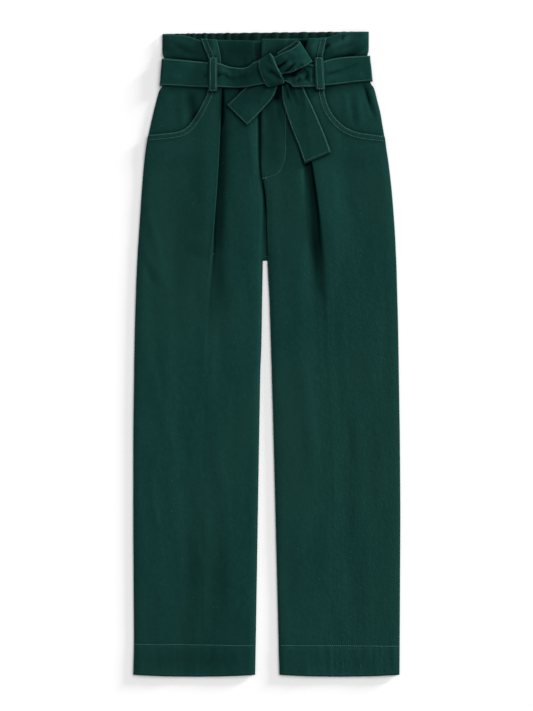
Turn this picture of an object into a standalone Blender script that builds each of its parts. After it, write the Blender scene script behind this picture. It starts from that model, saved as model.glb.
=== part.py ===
"""Paperbag-waist trousers laid flat on their back, waist towards +Y, with a tied cloth belt.

Sizes in the tables are millimetres of the laid-out garment. A place on the cloth is given as x, from the
centre line and positive to the wearer's left, drop, down from the highest point of the waist frill, and
height above the surface that the garment lies on. In a side's own tables x is counted outwards, to that
side. Each piece of cloth is a grid of places, taken through its sections, with a Solidify wall.
"""

import bmesh
import bpy
import numpy as np
from mathutils import Vector
from mathutils.bvhtree import BVHTree

MM = 0.001
LENGTH = 1060.0  # frill top to hem
CLOTH = 1.2  # wall of a single layer
BELT_CLOTH = 1.8  # the belt and its loops are sewn double
BELT_WIDTH = 45.0
GAP = 0.3  # between pieces that touch
RIGHT, LEFT = -1, 1  # the wearer's sides
SIDE_NAMES = {RIGHT: "right", LEFT: "left"}

COLLECTION = "paperbag_trousers"
GREEN = (0.0072, 0.0395, 0.0345, 1.0)
GREEN_BELT = (0.0064, 0.0350, 0.0310, 1.0)
GREEN_INSIDE = (0.0060, 0.0270, 0.0210, 1.0)
ROUGHNESS = 0.86


# ---------------------------------------------------------------- curves and tables
def table(columns, *rows):
    """Named columns of numbers, with one row for each section."""
    return {name: np.array(values, float) for name, values in zip(columns.split(), zip(*rows))}


def follow(sections, column, at, key="drop"):
    """A smooth curve through one column that never overshoots its rows (monotone cubic)."""
    x, y = sections[key], sections[column]
    at = np.clip(np.asarray(at, float), x[0], x[-1])
    step = np.diff(x)
    rise = np.diff(y) / step
    slope = np.empty_like(y)
    slope[0], slope[-1] = rise[0], rise[-1]
    same_way = rise[:-1] * rise[1:] > 0
    total = np.where(same_way, rise[:-1] + rise[1:], 1.0)
    slope[1:-1] = np.where(same_way, 2 * rise[:-1] * rise[1:] / total, 0.0)
    i = np.clip(np.searchsorted(x, at, side="right") - 1, 0, len(step) - 1)
    t = (at - x[i]) / step[i]
    return (
        y[i] * (1 + 2 * t) * (1 - t) ** 2
        + slope[i] * step[i] * t * (1 - t) ** 2
        + y[i + 1] * t * t * (3 - 2 * t)
        - slope[i + 1] * step[i] * t * t * (1 - t)
    )


def ramp(value, start, end):
    """0 before start, 1 after end, and an S between them."""
    t = np.clip((np.asarray(value, float) - start) / (end - start), 0.0, 1.0)
    return t * t * (3 - 2 * t)


def rolled(inset, width):
    """How far cloth has risen from its edge, 0 to 1, as a quarter circle of that width."""
    t = np.clip(1 - np.asarray(inset, float) / width, 0.0, 1.0)
    return np.sqrt(1 - t * t)


# ---------------------------------------------------------------- the outline
# The side seams, drawn in a little under the belt.
SIDE_SEAM = {
    RIGHT: table(
        "drop x",
        (0, 171.2), (35, 171.4), (43, 168.0), (64, 169.6), (89, 172.0), (96, 176.3), (114, 181.4),
        (133, 186.3), (153, 190.8), (168, 194.0), (193, 198.6), (226, 202.3), (275, 206.1), (324, 209.4),
        (377, 212.7), (443, 215.6), (541, 217.6), (640, 219.2), (805, 219.2), (1002, 218.1), (1060, 219.2),
    ),
    LEFT: table(
        "drop x",
        (0, 167.2), (31, 167.2), (39, 165.2), (60, 167.4), (84, 170.2), (92, 175.6), (114, 181.5),
        (133, 186.3), (153, 189.8), (168, 192.4), (193, 196.4), (226, 201.0), (275, 206.2), (324, 209.9),
        (377, 212.5), (443, 214.6), (541, 216.5), (640, 218.1), (805, 219.2), (1002, 218.1), (1060, 217.8),
    ),
}
INSEAM = {
    RIGHT: table(
        "drop x",
        (377, 6.9), (443, 8.6), (509, 10.2), (607, 13.5), (706, 16.5), (805, 17.1), (904, 18.4),
        (1002, 20.6), (1060, 19.3),
    ),
    LEFT: table(
        "drop x",
        (373, 1.3), (443, 4.6), (509, 7.9), (607, 11.2), (706, 13.3), (805, 16.5), (904, 18.6),
        (1002, 19.4), (1060, 21.1),
    ),
}
CROTCH = 376.0
CENTRE_BACK = -2.0

# ---------------------------------------------------------------- the fronts
# The middle of a front's lowest layer, above the table.
FRONT_REST = table(
    "drop z", (0, 4.9), (42, 4.9), (88, 4.6), (102, 4.4), (140, 4.0), (215, 3.6), (377, 3.0), (1060, 2.8)
)
FRONT_FULLNESS = 1.2  # how much higher the outer half of a front lies
SIDE_ROLL = 16.0  # width over which a front comes up from the side seam

# The knife pleat that each front carries down from the frill. fold is where its edge lies, turn how far the
# cloth turns back under (180 is pressed flat), radius the bend, and tuck the straight run hidden under it.
PLEAT = {
    RIGHT: table(
        "drop fold turn radius tuck",
        (0, 84.0, 180, 0.98, 3), (11, 83.0, 180, 0.98, 3), (33, 77.7, 180, 0.98, 5),
        (50, 75.7, 180, 0.98, 5), (96, 74.6, 180, 0.98, 5), (157, 77.0, 180, 0.98, 6),
        (215, 79.7, 176, 0.98, 6), (278, 83.9, 165, 0.98, 4), (320, 87.0, 150, 1.0, 2),
        (362, 89.6, 125, 1.05, 1.0), (404, 94.0, 85, 1.5, 0.7), (440, 97.6, 52, 2.6, 0.8),
        (505, 102.0, 28, 5, 0.8), (570, 106.0, 14, 8, 1.0), (700, 112.0, 6, 10, 1.0),
        (1060, 118.0, 3, 10, 1.0),
    ),
    LEFT: table(
        "drop fold turn radius tuck",
        (0, 68.0, 180, 0.98, 7), (8, 67.7, 180, 0.98, 7), (28, 63.6, 180, 0.98, 7),
        (44, 62.2, 180, 0.98, 8), (97, 60.0, 180, 0.98, 8), (157, 67.0, 180, 0.98, 8),
        (216, 74.6, 176, 0.98, 7), (278, 83.9, 165, 0.98, 4), (331, 89.2, 148, 1.0, 2),
        (383, 93.5, 110, 1.1, 1.0), (425, 95.6, 70, 1.8, 0.7), (460, 97.2, 44, 3, 0.8),
        (520, 100.0, 24, 6, 0.8), (590, 104.0, 12, 9, 1.0), (700, 110.0, 6, 10, 1.0),
        (1060, 118.0, 3, 10, 1.0),
    ),
}
PLEAT_STEPS = 3  # faces in each bend of the pleat
PLEAT_ALONG = 0.55  # how far along a section, from its outer to its inner drop, the pleat lies
PAST_TUCK = 2.0  # the top layer stays level this far past the hidden tuck
TOP_SLOPE = table("drop width", (300, 10.0), (560, 60.0))  # and then comes down over this width

# Each front between its pleat and its centre edge: a crest beside the pleat's recess, the lip and foot of
# the step before the seam, the seam, and the inner edge. The right front's edge goes under the left one,
# which is the fly. Heights are above the front's lowest layer.
INNER_COLUMNS = "drop crest crest_up lip lip_up foot foot_up seam seam_up inner inner_up"
INNER_FRONT = {
    RIGHT: table(
        INNER_COLUMNS,
        (0, 40, 1.2, 31, 1.6, 24.0, 1.9, 16.0, 0.5, -4, 0.2),
        (34, 40, 1.0, 31, 1.6, 24.0, 1.9, 16.0, 0.5, -4, 0.2),
        (50, 38, 1.0, 28, 1.8, 20.0, 1.7, 13.0, 0.4, -4, 0.2),
        (88, 34, 1.2, 25, 2.0, 18.0, 2.0, 12.5, 0.4, -5, 0.2),
        (110, 28, 2.6, 22, 3.2, 17.5, 2.6, 13.0, 0.5, -6, 0.2),
        (150, 25, 3.4, 19.5, 3.5, 16.0, 2.6, 12.5, 0.5, -6, 0.2),
        (200, 24, 3.4, 18.0, 3.3, 14.5, 2.4, 11.3, 0.4, -6, 0.2),
        (234, 24, 3.2, 17.0, 3.0, 13.0, 2.2, 10.0, 0.4, -5, 0.2),
        (246, 24, 3.2, 15.0, 2.6, 10.5, 1.6, 8.0, 0.4, -3, 0.1),
        (275, 24, 3.0, 14.0, 2.5, 8.5, 1.5, 5.0, 0.4, -1, 0.1),
        (320, 24, 2.9, 13.0, 2.4, 8.0, 1.2, 4.5, 0.3, 0.6, 0.0),
        (368, 26, 2.2, 14.0, 1.8, 8.0, 0.6, 4.5, 0.1, 0.8, -0.3),
        (377, 28, 1.9, 16.0, 1.6, 11.0, 0.8, 8.8, -0.3, 6.9, -0.9),
        (443, 36, 1.6, 19.0, 1.5, 12.6, 0.8, 10.3, -0.2, 8.6, -0.7),
        (1060, 50, 1.3, 31.0, 1.2, 24.0, 0.6, 21.0, -0.2, 19.3, -0.7),
    ),
    LEFT: table(
        INNER_COLUMNS,
        (0, 44, 1.6, 34.5, 2.2, 30.5, 3.1, 10, 3.3, -9.4, 3.2),
        (34, 44, 1.6, 34.5, 2.2, 30.5, 3.1, 10, 3.3, -9.4, 3.2),
        (50, 44, 1.6, 34.5, 2.2, 30.5, 3.1, 10, 3.3, -9.6, 3.2),
        (88, 42, 1.8, 34.5, 2.2, 30.5, 3.1, 10, 3.4, -10.0, 3.2),
        (110, 41, 2.4, 34.5, 2.3, 30.5, 3.1, 11, 3.7, -10.4, 3.3),
        (150, 43, 2.9, 34.7, 2.6, 30.7, 3.3, 10, 3.8, -10.5, 3.4),
        (200, 50, 3.4, 33.6, 2.7, 29.6, 3.3, 9, 3.7, -10.4, 3.4),
        (232, 54, 3.5, 26.0, 2.9, 18.0, 3.2, 4, 3.5, -8.8, 3.2),
        (246, 55, 3.5, 26.0, 3.0, 12.0, 2.9, 3, 2.9, -6.0, 2.5),
        (275, 57, 3.5, 26.0, 3.0, 10.0, 2.8, 3.5, 2.3, -1.6, 1.8),
        (320, 60, 3.2, 26.0, 2.8, 9.0, 2.5, 4, 2.1, 0.2, 1.8),
        (360, 60, 2.8, 24.0, 2.5, 9.0, 2.0, 4.5, 1.3, 1.2, 0.4),
        (373, 60, 2.6, 24.0, 2.2, 9.0, 1.5, 4.6, 0.1, 1.3, -0.9),
        (443, 56, 1.8, 24.0, 1.5, 11.0, 0.9, 7.0, -0.1, 4.6, -0.7),
        (1060, 62, 1.4, 33.0, 1.2, 25.0, 0.6, 22.8, -0.2, 21.1, -0.7),
    ),
}

# One row for each section of a front. The outer end follows the topstitched edge down the frill, round the
# scoop of the pocket, and then the side seam. The inner end follows the centre edge and the inseam.
FRONT_ROWS = {
    RIGHT: table(
        "outer_drop outer_x inner_drop",
        (11.2, 108.6, 15.0), (27, 103.0, 29), (43.3, 96.8, 44), (64, 96.6, 64), (90, 97.4, 90),
        (101, 98.2, 103), (109, 101.4, 113), (118, 106.0, 124), (129, 111.6, 136), (139.1, 117.7, 148),
        (148.5, 124.2, 159), (156.2, 131.2, 169), (161.2, 138.0, 178), (164.2, 147.0, 187),
        (166.2, 160.0, 195), (167.5, 174.0, 202), (168.4, 184.0, 208), (168.9, 190.5, 214),
        (169.4, 194.2, 222), (192.6, 198.5, 236), (225.5, 202.3, 248), (262, 205.2, 270),
        (300, 207.8, 302), (340, 210.4, 340), (370, 212.3, 370), (379, 212.8, 379), (425, 214.8, 425),
        (480, 216.4, 480), (560, 217.9, 560), (680, 219.2, 680), (800, 219.2, 800), (910, 218.6, 910),
        (1004, 218.1, 1004), (1057, 219.2, 1057),
    ),
    LEFT: table(
        "outer_drop outer_x inner_drop",
        (10.4, 100.4, 12.0), (27, 95.6, 27), (43.3, 91.8, 43.5), (64, 92.5, 64), (90, 94.2, 90),
        (101.6, 95.2, 103), (109, 96.8, 113), (118, 99.2, 124), (127, 103.0, 135), (135, 107.6, 146),
        (141.6, 112.6, 156), (148, 118.6, 166), (154.4, 126.0, 176), (159.4, 134.0, 186),
        (163.4, 143.4, 197), (167.2, 160.0, 205), (168.8, 173.0, 210), (170.0, 183.0, 214),
        (170.6, 189.0, 218), (171.0, 192.8, 223), (192.6, 196.3, 236), (225.5, 201.0, 248),
        (262, 205.0, 270), (300, 208.2, 302), (340, 210.8, 340), (366, 212.0, 366), (376, 212.5, 376),
        (425, 214.0, 425), (480, 215.4, 480), (560, 216.8, 560), (680, 218.5, 680), (800, 219.2, 800),
        (910, 218.7, 910), (1004, 218.1, 1004), (1057, 217.8, 1057),
    ),
}
HEM_SAG = 3.0  # a hem is this much lower in its middle than at its seams
HEM_RISE = 60.0  # the sag starts this far above the hem
EDGE_INSETS = (0, 1, 4, 10)  # columns along a front's outer edge
SLOPE_SHARES = (0.4, 0.75, 1.0)  # columns between them and the tuck
BEYOND_FOLD = ((2.0, 0.0), (8.0, 0.25))  # columns in the recess beside the pleat, and their rise
INNER_SHARES = {"crest": 0.75, "lip": 0.85, "foot": 0.92, "seam": 0.97, "inner": 1.0}

# ---------------------------------------------------------------- the hips
# The hip pieces show above the pockets. Their top edge runs from the front out to the side seam.
HIP_TOP = {
    RIGHT: table("x drop", (90.5, 15.4), (112.6, 13.0), (125.6, 8.6), (138.8, 5.6), (171.2, 4.1)),
    LEFT: table("x drop", (85, 10.0), (101.7, 9.4), (119.5, 2.8), (145.5, 0.4), (167.2, 0.2)),
}
HIP_INNER = {RIGHT: 90.5, LEFT: 85.0}  # the edge hidden under the front
HIP_LEVEL = 27.0  # from here down the rows are level, and above it they follow the top edge
HIP_ROWS = (0, 9, 18, HIP_LEVEL, 34, 42, 61, 80.4, 88, 96, 114, 133, 153, 170, 188)
HIP_COLUMNS = (0, 0.012, 0.05, 0.13, 0.27, 0.45, 0.6, 0.8, 1.0)
HIP_ROLL = 18.0
HIP_FULLNESS = 0.9

# ---------------------------------------------------------------- the back
# The elasticated back waist: where the troughs lie between its gathers.
BACK_TROUGHS = (
    -171, -152, -142, -133, -125, -116, -107, -97, -84, -70, -59, -45, -28, -10, 6, 21, 38, 52, 68, 83, 98,
    110, 121, 133, 146, 167,
)
GATHER_SHAPE = ((0.0, 0.0), (0.3, 0.65), (0.7, 0.65))  # share of a gather's width, and of its height
GATHER_HEIGHT = table("drop up", (0, 4.0), (12, 3.0), (20, 2.6), (36, 0.7))
GATHER_UNEVEN = (0.2, 2.3)  # share by which the gathers' heights differ, and its change from one to the next
TROUGH_HEIGHT = 0.06  # share of the height at which the troughs lie, just clear of the table
GATHER_FADE = (120.0, 162.0)  # the gathers die out between these, towards the sides
BACK_SEAM = 80.0
BACK_TOP = {RIGHT: 3.4, LEFT: 0.0}  # the top edge climbs towards the wearer's left
BACK_WAIST_ROWS = (0, 9, 18, 27, 34, 42, 61, BACK_SEAM)
BACK_ROWS = (
    80.4, 88, 96, 114, 133, 153, 168, 193, 226, 275, 324, 366, 377, 443, 541, 640, 740, 850, 950, 1020,
    1055.5,
)
BACK_COLUMNS = (0, 0.02, 0.08, 0.3, 0.55, 0.8, 0.93, 0.98, 1)

# ---------------------------------------------------------------- the belt
# The belt over the front, from the knot to the side, and its two edges.
BELT_FRONT = {
    RIGHT: table(
        "x top bottom",
        (0, 49, 86), (14, 48.6, 88.5), (22, 51.2, 90), (30, 57.6, 91.5), (40.3, 60.4, 92.5),
        (60.1, 58.4, 92.3), (80.3, 52.5, 91.8), (97.4, 51.0, 91.8), (135, 47.2, 90), (180, 43.0, 87.6),
    ),
    LEFT: table(
        "x top bottom",
        (3, 46, 78), (20, 50, 80.5), (28, 52, 82), (36.5, 53, 85.6), (45, 54, 92.4), (60, 54, 92.0),
        (75, 55, 91.4), (82, 56, 91), (93.7, 48.9, 89.4), (119.5, 42.8, 86.5), (142.7, 40.8, 83.5),
        (180, 38.6, 80.0),
    ),
}
BELT_TURN_INSET = 5.0  # how far in from the side seam the turned belt ends, under the trousers
BELT_TURN_STEPS = 8
BELT_BACK_INSET = 6.0
LOOP = {  # where each belt loop starts and ends, and its two edges
    RIGHT: table("drop low high", (43.3, 81.6, 94.8), (98.8, 82.0, 95.2)),
    LEFT: table("drop low high", (42.8, 77.9, 91.9), (96.0, 80.3, 95.1)),
}

# The tied part. a and b are the two edges of the belt at each station along it.
TAIL = {
    RIGHT: table(
        "station a_x a_drop b_x b_drop",
        (0, -19.0, 76.0, 21.0, 81.0), (1, -30.0, 87.0, 10.2, 107.8), (2, -40.0, 96.5, -6.6, 127.6),
        (3, -52.0, 108.0, -19.0, 141.0), (4, -65.8, 120.7, -32.4, 154.2),
    ),
    LEFT: table(
        "station a_x a_drop b_x b_drop",
        (0, 24.7, 78.0, 58.0, 80.0), (1, 24.8, 98.0, 62.0, 98.0), (2, 26.0, 114.0, 68.0, 110.5),
        (3, 30.0, 129.0, 73.5, 121.0), (4, 42.1, 164.1, 84.8, 147.0), (5, 52.0, 188.5, 94.5, 170.0),
        (6, 61.9, 217.3, 105.3, 199.2),
    ),
}
TAIL_PLEATS = {  # how many folds the knot puts in a tail, how deep they are, and where they have opened
    RIGHT: {"count": 1.5, "depth": 0.8, "open_at": 2.0},
    LEFT: {"count": 2.5, "depth": 1.6, "open_at": 2.6},
}
BOW = table(
    "station a_x a_drop b_x b_drop up",
    (0, 8.0, 44.0, 17.0, 66.0, 0.0), (1, 22.0, 32.4, 34.0, 66.0, 0.3), (2, 36.0, 23.7, 52.0, 60.0, 0.8),
    (3, 48.0, 15.8, 67.0, 53.0, 1.5), (4, 53.0, 17.6, 74.1, 51.3, 4.4), (5, 48.5, 24.5, 66.0, 57.0, 7.4),
    (6, 38.0, 31.5, 51.0, 65.0, 8.6), (7, 25.0, 37.5, 38.0, 70.0, 7.6), (8, 8.0, 45.0, 19.0, 72.0, 3.4),
)
KNOT = table(
    "station a_x a_drop b_x b_drop",
    (0, -13.0, 47.2, 5.6, 36.5), (1, -13.7, 57.6, 11.5, 46.4), (2, -11.0, 69.1, 16.6, 59.6),
    (3, -6.9, 79.8, 22.6, 70.6), (4, -2.0, 88.9, 28.5, 81.5), (5, 4.5, 91.6, 28.0, 86.0),
)
KNOT_FULLNESS = 3.5


# ---------------------------------------------------------------- heights of the layers
def belt_line(x):
    """The drop of the belt's middle as it crosses the back, which leans a little."""
    return 62.6 - 0.0175 * np.asarray(x, float)


def back_lift(x, drop):
    """How far the belt under it holds the back off the table."""
    clear, slope = BELT_WIDTH / 2 + 6.0, 9.0
    return (BELT_CLOTH + GAP) * (1 - ramp(np.abs(drop - belt_line(x)), clear, clear + slope))


def sagged(drop, across):
    """The drop of a leg's places when its hem hangs lowest in the middle; across is 0 and 1 at its seams."""
    hem = LENGTH - HEM_SAG
    return drop + HEM_SAG * ramp(drop, hem - HEM_RISE, hem) * (1 - (2 * across - 1) ** 2)


def hip_height(side, x, drop):
    """Middle height of a hip piece: it rises from the side seam to the front's lowest layer."""
    inset = follow(SIDE_SEAM[side], "x", drop) - side * x
    low = CLOTH * 1.5 + GAP * 1.5 + back_lift(x, drop)
    fullness = HIP_FULLNESS * ramp(drop, 95, 125) * ramp(inset, 6, 40)
    return low + np.maximum(follow(FRONT_REST, "z", drop) + fullness - low, 0) * rolled(inset, HIP_ROLL)


def front_outer_height(side, x, drop):
    """Middle height of a front between the side seam and its pleat, over the hip piece and below it."""
    inset = follow(SIDE_SEAM[side], "x", drop) - side * x
    over_hip = hip_height(side, x, drop) + CLOTH + 2 * GAP
    low = CLOTH * 1.5 + GAP
    below = low + (follow(FRONT_REST, "z", drop) + FRONT_FULLNESS - low) * rolled(inset, SIDE_ROLL)
    past_hip = ramp(drop, HIP_ROWS[-1] + 4, HIP_ROWS[-1] + 40)
    return over_hip * (1 - past_hip) + below * past_hip


# ---------------------------------------------------------------- turning places into cloth
def place(x, drop, z):
    """World coordinates, in metres, of places on the cloth."""
    x, drop, z = np.broadcast_arrays(x, drop, z)
    return np.stack([x, LENGTH / 2 - drop, z], axis=-1) * MM


def cloth(name, points, material, wall=CLOTH):
    """A piece of cloth: a flat grid with a vertex for each place, moved there and given its wall."""
    rows, columns = points.shape[:2]
    mesh = bpy.data.meshes.new(name)
    shape = bmesh.new()
    bmesh.ops.create_grid(shape, x_segments=columns - 1, y_segments=rows - 1, size=0.5)
    for vertex, at in zip(shape.verts, points.reshape(-1, 3)):
        vertex.co = at
    bmesh.ops.recalc_face_normals(shape, faces=shape.faces)
    if sum(face.normal.z * face.calc_area() for face in shape.faces) < 0:
        bmesh.ops.reverse_faces(shape, faces=shape.faces)
    shape.to_mesh(mesh)
    shape.free()
    mesh.shade_smooth()
    piece = bpy.data.objects.new(name, mesh)
    bpy.data.collections[COLLECTION].objects.link(piece)
    mesh.materials.append(material)
    solid = piece.modifiers.new("wall", "SOLIDIFY")
    solid.thickness = wall * MM
    solid.offset = 0.0
    solid.use_even_offset = True
    return piece


def dyed(name, colour):
    """Matt cotton twill of one colour."""
    material = bpy.data.materials.new(name)
    material.use_nodes = True
    shader = material.node_tree.nodes["Principled BSDF"]
    shader.inputs["Base Color"].default_value = colour
    shader.inputs["Roughness"].default_value = ROUGHNESS
    shader.inputs["Metallic"].default_value = 0.0
    material.diffuse_color = colour
    return material


class Heap:
    """The pieces laid down so far, for what is laid over them."""

    FINE = 5  # samples of the heap for each cell of a grid
    DRAWN_TIGHT = 12  # rounds of levelling

    def __init__(self):
        self.trees = []

    def add(self, *pieces):
        bpy.context.view_layer.update()
        graph = bpy.context.evaluated_depsgraph_get()
        self.trees += [BVHTree.FromObject(piece, graph) for piece in pieces]

    def top(self, x, drop):
        """Height of the uppermost surface at one place."""
        above = Vector((x * MM, (LENGTH / 2 - drop) * MM, 0.1))
        hits = [tree.ray_cast(above, Vector((0, 0, -1)))[0] for tree in self.trees]
        return max([hit.z / MM for hit in hits if hit] + [0.0])

    def over(self, x, drop, wall):
        """Middle height, at each place of a grid, of cloth that bridges from crest to crest of the heap.

        Each place clears the highest surface within one cell of the grid on every side, past the grid's
        edges too, so that the flat faces between places and the cloth's cut edges clear it as well. Between
        the crests it is drawn tight, as high as its neighbours.
        """
        fine = self.FINE
        rows, columns = x.shape
        down = np.linspace(0, rows + 1, (rows + 1) * fine + 1)
        across = np.linspace(0, columns + 1, (columns + 1) * fine + 1)

        def spread(values):
            wider = np.pad(values, 1, mode="reflect", reflect_type="odd")
            along = np.array([np.interp(down, range(rows + 2), line) for line in wider.T]).T
            return np.array([np.interp(across, range(columns + 2), line) for line in along])

        places = zip(spread(x), spread(drop))
        tops = np.array([[self.top(a, b) for a, b in zip(*line)] for line in places])
        window = np.lib.stride_tricks.sliding_window_view(tops, (2 * fine + 1, 2 * fine + 1))
        least = window.max(axis=(2, 3))[::fine, ::fine] + wall / 2 + GAP
        height = least
        for _ in range(self.DRAWN_TIGHT):
            near = np.pad(height, 1, mode="edge")
            beside = (near[:-2, 1:-1] + near[2:, 1:-1] + near[1:-1, :-2] + near[1:-1, 2:]) / 4
            height = np.maximum(least, beside)
        return height


# ---------------------------------------------------------------- the panels
def pleat_section(pleat, drop):
    """The folded run of a pleat at each drop: how far it lies inwards of the fold, and below its top.

    The cloth turns down and back through an arc, runs straight, and turns forward again through the same
    arc, so that the run is an S lying on its side where the pleat is closed and nearly flat where it opens.
    """
    turn = np.radians(follow(pleat, "turn", drop))
    radius = follow(pleat, "radius", drop)
    tuck = follow(pleat, "tuck", drop)
    nose = np.where(turn > np.pi / 2, 0.0, radius * (1 - np.sin(turn)))
    shares = np.linspace(0, 1, PLEAT_STEPS + 1)
    first = [(radius * (np.sin(turn * s) - 1) + nose, radius * (1 - np.cos(turn * s))) for s in shares]
    turned_in = first[-1][0] + tuck * np.cos(turn)
    turned_down = first[-1][1] + tuck * np.sin(turn)
    second = [
        (
            turned_in + radius * (np.sin(turn) - np.sin(turn * s)),
            turned_down + radius * (np.cos(turn * s) - np.cos(turn)),
        )
        for s in shares[::-1]
    ]
    inwards, down = zip(*(first + second))
    return np.array(inwards), np.array(down)


def front(side, material):
    """A whole front, from the frill to the hem, with its pleat folded in."""
    rows, pleat, inner = FRONT_ROWS[side], PLEAT[side], INNER_FRONT[side]
    outer_drop, outer_x, inner_drop = rows["outer_drop"], rows["outer_x"], rows["inner_drop"]
    width = outer_x - follow(inner, "inner", inner_drop)
    columns = []

    def add(x, drop, z):
        columns.append(place(side * x, sagged(drop, (outer_x - x) / width), z))

    fold_drop = outer_drop + (inner_drop - outer_drop) * PLEAT_ALONG
    fold = follow(pleat, "fold", fold_drop)
    inwards, down = pleat_section(pleat, fold_drop)
    floor = follow(FRONT_REST, "z", fold_drop)
    top = floor + down[-1]
    start = fold - inwards[0]
    tuck_end = start + follow(pleat, "tuck", fold_drop) + PAST_TUCK
    slope = follow(TOP_SLOPE, "width", fold_drop)
    steps = [(inset, 0.0) for inset in EDGE_INSETS] + [(EDGE_INSETS[-1], share) for share in SLOPE_SHARES]
    for inset, share in steps:
        x = outer_x - inset - (outer_x - inset - tuck_end) * share
        drop = outer_drop + (fold_drop - outer_drop) * (outer_x - x) / (outer_x - start)
        on_tuck = 1 - ramp(x - tuck_end, 0, slope)
        add(x, drop, front_outer_height(side, side * x, drop) * (1 - on_tuck) + top * on_tuck)
    for step_in, step_down in zip(inwards, down):
        add(fold - step_in, fold_drop, top - step_down)
    for beyond, up in BEYOND_FOLD:
        add(fold - np.maximum(inwards[-1], 0.0) - beyond, fold_drop, floor + up)
    for key, share in INNER_SHARES.items():
        drop = outer_drop + (inner_drop - outer_drop) * share
        up = follow(inner, key + "_up", drop)
        add(follow(inner, key, drop), drop, follow(FRONT_REST, "z", drop) + up)
    return cloth("front_" + SIDE_NAMES[side], np.stack(columns, axis=1), material)


def hip(side, material):
    """The piece behind a pocket, whose upper part shows between the side seam and the pocket's scoop."""
    points = []
    for level in HIP_ROWS:
        reach = follow(SIDE_SEAM[side], "x", level)
        x = reach + (HIP_INNER[side] - reach) * np.array(HIP_COLUMNS)
        top = follow(HIP_TOP[side], "drop", x, key="x")
        drop = np.where(level < HIP_LEVEL, top + (HIP_LEVEL - top) * level / HIP_LEVEL, level)
        points.append(place(side * x, drop, hip_height(side, side * x, drop)))
    return cloth("hip_" + SIDE_NAMES[side], np.array(points), material)


def back_waist(material):
    """The gathered back of the waist, whose ruffles stand between troughs on the table."""
    troughs = np.array(BACK_TROUGHS, float)
    shares, shape = np.array(GATHER_SHAPE).T
    waves = np.append(troughs[:-1, None] + np.diff(troughs)[:, None] * shares, troughs[-1])
    differ, turn = GATHER_UNEVEN
    uneven = 1 + differ * np.sin(turn * np.arange(len(troughs) - 1))
    wave_up = np.append(uneven[:, None] * shape, 0.0) + TROUGH_HEIGHT
    span = (waves - troughs[0]) / (troughs[-1] - troughs[0])
    points = []
    for drop in BACK_WAIST_ROWS:
        low = -follow(SIDE_SEAM[RIGHT], "x", drop)
        high = follow(SIDE_SEAM[LEFT], "x", drop)
        x = low + (high - low) * span
        start = BACK_TOP[RIGHT] + (BACK_TOP[LEFT] - BACK_TOP[RIGHT]) * span
        level = start + (BACK_SEAM - start) * drop / BACK_SEAM
        height = follow(GATHER_HEIGHT, "up", level) * (1 - ramp(np.abs(x), *GATHER_FADE))
        points.append(place(x, level, CLOTH / 2 + back_lift(x, level) + height * wave_up))
    return cloth("back_waist", np.array(points), material)


def back(side, material):
    """A back panel, flat on the table below the belt."""
    points = []
    across = np.array(BACK_COLUMNS)
    for drop in BACK_ROWS:
        outer = side * follow(SIDE_SEAM[side], "x", drop)
        seam = CENTRE_BACK + side * GAP / 2
        inner = side * follow(INSEAM[side], "x", drop) if drop > CROTCH else seam
        x = inner + (outer - inner) * across
        points.append(place(x, sagged(drop, across), CLOTH / 2 + back_lift(x, drop)))
    return cloth("back_" + SIDE_NAMES[side], np.array(points), material)


# ---------------------------------------------------------------- the belt's pieces
def belt_piece(name, x, drop, z, material):
    return cloth(name, place(x, drop, z), material, BELT_CLOTH)


def stretch(sections, stations, columns):
    """Places on a run of belt between its edges a and b, at even stations along it."""
    along = np.linspace(sections["station"][0], sections["station"][-1], stations)[:, None]
    across = np.linspace(0, 1, columns)[None, :]
    a_x, a_drop, b_x, b_drop = (
        follow(sections, key, along, key="station") for key in ("a_x", "a_drop", "b_x", "b_drop")
    )
    return a_x + (b_x - a_x) * across, a_drop + (b_drop - a_drop) * across, along, across


def tail(side, heap, material):
    """A free end of the belt, which lies on the fronts and goes up under the belt to the knot."""
    pleats = TAIL_PLEATS[side]
    x, drop, along, across = stretch(TAIL[side], 12, 11)
    folds = 0.5 - 0.5 * np.cos(2 * np.pi * pleats["count"] * across)
    fullness = pleats["depth"] * folds * (1 - ramp(along, 0.6, pleats["open_at"]))
    z = heap.over(x, drop, BELT_CLOTH) + fullness
    return belt_piece("belt_tail_" + SIDE_NAMES[side], x, drop, z, material)


def belt_front(side, heap, material):
    """The belt from the knot to the side, where it turns round the edge of the trousers to the back."""
    edges = BELT_FRONT[side]
    across = np.linspace(0, 1, 6)[None, :]
    share = np.linspace(0, 1, 19)[:, None]
    side_drop = edges["top"][-1] + (edges["bottom"][-1] - edges["top"][-1]) * across
    reach = follow(SIDE_SEAM[side], "x", side_drop) - BELT_TURN_INSET
    x = edges["x"][0] + (reach - edges["x"][0]) * share
    top, bottom = follow(edges, "top", x, key="x"), follow(edges, "bottom", x, key="x")
    drop = top + (bottom - top) * across
    z = heap.over(side * x, drop, BELT_CLOTH)
    low = BELT_CLOTH / 2
    radius = (z[-1:] - low) / 2
    turn = np.radians(np.linspace(90, -90, BELT_TURN_STEPS + 1))[:, None]
    x = np.vstack([x, reach + BELT_TURN_INSET - 0.2 + radius * np.cos(turn), reach])
    z = np.vstack([z, low + radius * (1 + np.sin(turn)), np.full_like(radius, low)])
    drop = np.vstack([drop] + [drop[-1:]] * (BELT_TURN_STEPS + 2))
    return belt_piece("belt_front_" + SIDE_NAMES[side], side * x, drop, z, material)


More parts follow.
